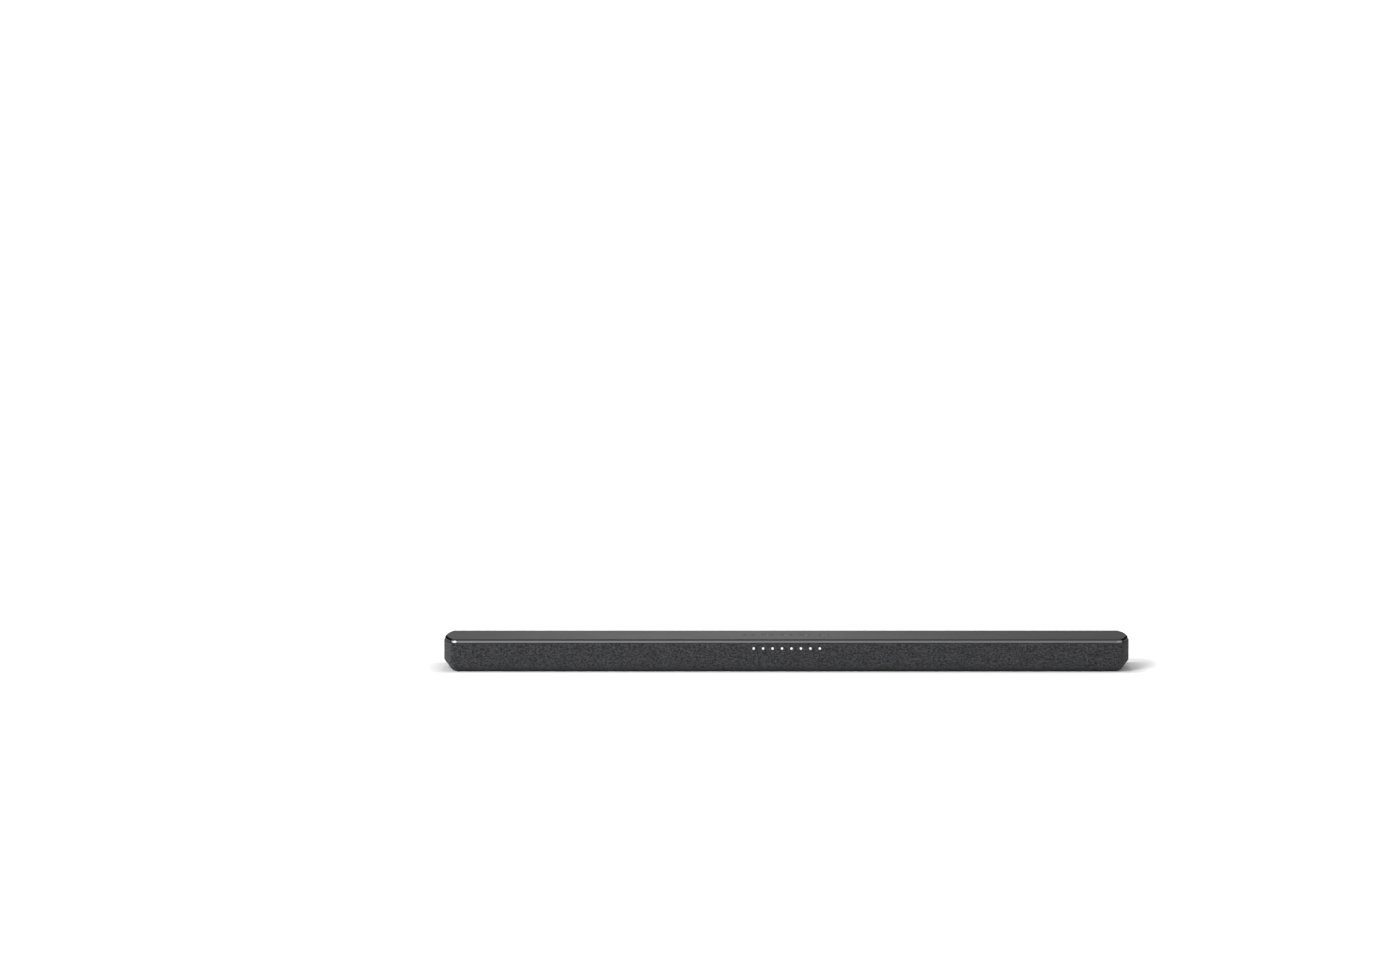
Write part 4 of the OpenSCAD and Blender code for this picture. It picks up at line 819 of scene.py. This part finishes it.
def two_finishes(name, mask, nylon, metal, roughness):
    """Plated metal where the mask is 1 and black nylon where it is 0. mask is a function of the material's
    tree."""
    material, tree, shader = surface(name)
    where = mask(tree)
    got = use(tree, plating, Colour=(*metal, 1), Roughness=roughness, Grain_size=0.002, Mottle=0.12)
    black = use(tree, grain, Colour=(*nylon, 1), Roughness=0.42, Grain_size=0.0004, Mottle=0.1, Dust=0.03)
    tree.links.new(mix(tree, where, black["Colour"], got["Colour"]), shader.inputs["Base Color"])
    tree.links.new(mix(tree, where, black["Roughness"], got["Roughness"], "FLOAT"), shader.inputs["Roughness"])
    tree.links.new(where, shader.inputs["Metallic"])
    relief(tree, shader, mix(tree, where, black["Height"], got["Height"], "FLOAT"), 0.00001)
    return material


def shell_only(node, shell):
    """A mask for a steel shell of that thickness round the moulded middle of a socket, which is open at the
    back."""
    low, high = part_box(node)
    low, high = low + Vector((shell, 0, shell)), high + Vector((-shell, 0.001, -shell))
    return lambda tree: calc(tree, "SUBTRACT", 1.0, inside_box(tree, low, high))


def pins_only(node, gap, radius):
    """A mask for two round contact pins, side by side about the middle of a socket, with gap between their
    axes."""
    middle = (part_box(node)[0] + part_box(node)[1]) / 2

    def mask(tree):
        place = xyz(tree)
        aside = calc(tree, "ABSOLUTE", calc(tree, "SUBTRACT", place[0], middle.x))
        away = far_from(tree, calc(tree, "SUBTRACT", aside, gap / 2), calc(tree, "SUBTRACT", place[2], middle.z))
        return calc(tree, "LESS_THAN", away, radius)
    return mask


steel, nickel, nylon, usb_nylon = (0.6, 0.6, 0.61), (0.72, 0.71, 0.68), (0.012, 0.012, 0.013), (0.02, 0.02, 0.022)
shell, pin_gap, pin_radius = 0.0008, 0.0086, 0.0014
finish_nodes(two_finishes("video_socket", shell_only("hdmi_socket", shell), nylon, steel, 0.25), "hdmi_socket")
finish_nodes(two_finishes("usb_shell", shell_only("usb_socket", shell), usb_nylon, steel, 0.25), "usb_socket")
pins = pins_only("mains_inlet", pin_gap, pin_radius)
finish_nodes(two_finishes("mains_nylon", pins, nylon, nickel, 0.2), "mains_inlet")
finish_nodes(moulded("socket_nylon", nylon, 0.4), "optical_socket", "aux_jack")

# ---- Wall hangers and screws -------------------------------------------------------------------
# Stamped steel plates with keyholes, and the screws that hold them and the housing, are zinc plated
# with a faint bluish spangle. The driver screws are blackened, so that none glints behind the cloth.

finish_nodes(plated("zinc_plate", (0.5, 0.52, 0.55), 0.36, mottle=0.3), "wall_hanger_left", "wall_hanger_right")
finish_nodes(plated("zinc_screw", (0.55, 0.56, 0.58), 0.3, grain_size=0.001), "housing_screws", "board_screws")
finish_nodes(plated("black_oxide", (0.03, 0.03, 0.032), 0.5, grain_size=0.001), "driver_screws")

# ---- Drivers -----------------------------------------------------------------------------------
# Two racetrack woofers and two dome tweeters: glass-filled baskets, plated motors, copper coils,
# pressed paper cones in rubber surrounds, resin-dipped spiders, and coated silk domes.

fibres, taken, given = effect(
    "fibres",
    {"Colour": ("colour", (0.05, 0.05, 0.05, 1)), "Fibre": ("value", 0.0015), "Contrast": ("value", 0.5)},
    {"Colour": "colour", "Height": "value"},
)
# Three layers of drawn-out noise, each turned another way, and the one that stands highest shows.
place = on_piece(fibres)
felt = 0.0
for turn in (0.4, 1.5, 2.6):
    laid = add(fibres, "Mapping", Vector=place, Rotation=(0, turn, 0), Scale=(1, 4, 6))
    layer = add(fibres, "TexNoise", Vector=laid, Scale=calc(fibres, "DIVIDE", 1.0, taken["Fibre"]), Detail=2.0)
    felt = calc(fibres, "MAXIMUM", felt, layer)
shade = calc(fibres, "ADD", calc(fibres, "MULTIPLY", calc(fibres, "SUBTRACT", felt, 0.6), taken["Contrast"]), 1.0)
fibres.links.new(scaled(fibres, taken["Colour"], shade), given["Colour"])
fibres.links.new(felt, given["Height"])


def fibrous(name, colour, roughness, fibre=0.0015, contrast=2.0, depth=0.00005, **settings):
    """Paper, felt or fine cloth with the fibres group on it."""
    material, tree, shader = surface(name, Roughness=roughness, **settings)
    got = use(tree, fibres, Colour=(*colour, 1), Fibre=fibre, Contrast=contrast)
    dress(tree, shader, got, depth)
    return material


def pair(*names):
    """The left and right nodes of those names."""
    return [f"{name}_{side}" for name in names for side in ("left", "right")]


finish_nodes(moulded("glass_filled", (0.03, 0.03, 0.032), 0.6, grain_size=0.0009, mottle=0.25),
             *pair("woofer_frame", "tweeter_body"))
finish_nodes(plated("motor_plate", (0.45, 0.46, 0.48), 0.35, mottle=0.3), *pair("woofer_motor"))
finish_nodes(fibrous("pressed_paper", (0.035, 0.035, 0.038), 0.85), *pair("woofer_cone"))
finish_nodes(moulded("surround_rubber", (0.014, 0.014, 0.015), 0.7, grain_size=0.0012), *pair("woofer_surround"))
finish_nodes(fibrous("dipped_cloth", (0.45, 0.3, 0.1), 0.6, fibre=0.0008), *pair("woofer_spider"))
finish_nodes(fibrous("coated_silk", (0.05, 0.05, 0.055), 0.4, fibre=0.0005, contrast=1.0), *pair("tweeter_dome"))

wire, tree, shader = surface("enamelled_wire", Metallic=1.0, Coat_Weight=0.4, Coat_Roughness=0.1)
turns = add(tree, "TexWave", Vector=on_piece(tree), Scale=2300.0, Distortion=0.3, bands_direction="Y", out=1)
tree.links.new(mix(tree, turns, (0.3, 0.11, 0.04), (0.75, 0.36, 0.17)), shader.inputs["Base Color"])
tree.links.new(mix(tree, turns, 0.45, 0.25, "FLOAT"), shader.inputs["Roughness"])
relief(tree, shader, turns, 0.00005)
finish_nodes(wire, *pair("woofer_coil"))

# ---- Boards and their parts --------------------------------------------------------------------
# Green fibreglass boards carry the signal side, and a brown paper-resin one the mains side, with its
# ferrite transformer, two large capacitors and an extruded aluminium heat sink on the amplifier.

# The last number is how far the bare board lies above the lowest point of its node.
boards = (("main_board", fibre_green, 0.0022, 0), ("wireless_module", fibre_green, 0.0016, 0),
          ("power_board", fibre_brown, 0.004, 0), ("key_board", fibre_green, 0.0025, 0.0015))
board_top, around = 0.00165, 0.001
for name, mask, pitch, raised in boards:
    low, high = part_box(name)
    bottom = low.z + raised
    low = (low.x - around, low.y - around, bottom - 0.0001)
    high = (high.x + around, high.y + around, bottom + board_top)
    finish_nodes(board_finish(f"{name}_mask", mask, low, high, pitch=pitch), name)
finish_nodes(plated("aluminium", (0.62, 0.63, 0.64), 0.38, grain_size=0.003), "heat_sink")

low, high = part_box("power_transformer")
core, tree, shader = surface("ferrite_and_tape")
core_round = Vector((0.004, -0.001, 0.0035))
taped = inside_box(tree, low + core_round, high - core_round)
black = use(tree, grain, Colour=(0.05, 0.05, 0.052, 1), Roughness=0.65, Grain_size=0.0005, Mottle=0.2, Dust=0.05)
tape = use(tree, fibres, Colour=(0.55, 0.4, 0.08, 1), Fibre=0.003, Contrast=0.3)
tree.links.new(mix(tree, taped, black["Colour"], tape["Colour"]), shader.inputs["Base Color"])
tree.links.new(mix(tree, taped, black["Roughness"], 0.3, "FLOAT"), shader.inputs["Roughness"])
relief(tree, shader, black["Height"], 0.00003)
finish_nodes(core, "power_transformer")

low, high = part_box("bulk_capacitors")
sleeve, tree, shader = surface("capacitor_sleeve", Coat_Weight=0.2)
stripe_deep = 0.0012
parts = xyz(tree)
ends = calc(tree, "LESS_THAN", parts[1], low.y + 0.00005)
stripe = calc(tree, "GREATER_THAN", parts[2], high.z - stripe_deep)
paint = mix(tree, stripe, (0.012, 0.018, 0.035), (0.5, 0.5, 0.5))
got = use(tree, plating, Colour=(0.7, 0.7, 0.7, 1), Roughness=0.3, Grain_size=0.002, Mottle=0.1)
tree.links.new(mix(tree, ends, paint, got["Colour"]), shader.inputs["Base Color"])
tree.links.new(ends, shader.inputs["Metallic"])
tree.links.new(got["Roughness"], shader.inputs["Roughness"])
finish_nodes(sleeve, "bulk_capacitors")

# ---- Leads -------------------------------------------------------------------------------------
# Twin PVC leads run to the woofers and from the power board, and two flat flexible cables to the
# lights and the keys.

finish_nodes(moulded("lead_pvc", (0.02, 0.02, 0.022), 0.4, grain_size=0.001, dust=0.05), *pair("speaker_lead"))
finish_nodes(moulded("supply_pvc", (0.3, 0.03, 0.015), 0.4, grain_size=0.001, dust=0.05), "supply_harness")
flat, tree, shader = surface("flat_cable", Roughness=0.35)
lines = add(tree, "TexWave", Vector=on_piece(tree), Scale=320.0, Distortion=0.0, bands_direction="X", out=1)
tree.links.new(mix(tree, ramp(tree, lines, 0.35, 0.6), (0.75, 0.73, 0.66), (0.42, 0.4, 0.36)),
               shader.inputs["Base Color"])
relief(tree, shader, lines, 0.00004)
finish_nodes(flat, "ribbon_cables")
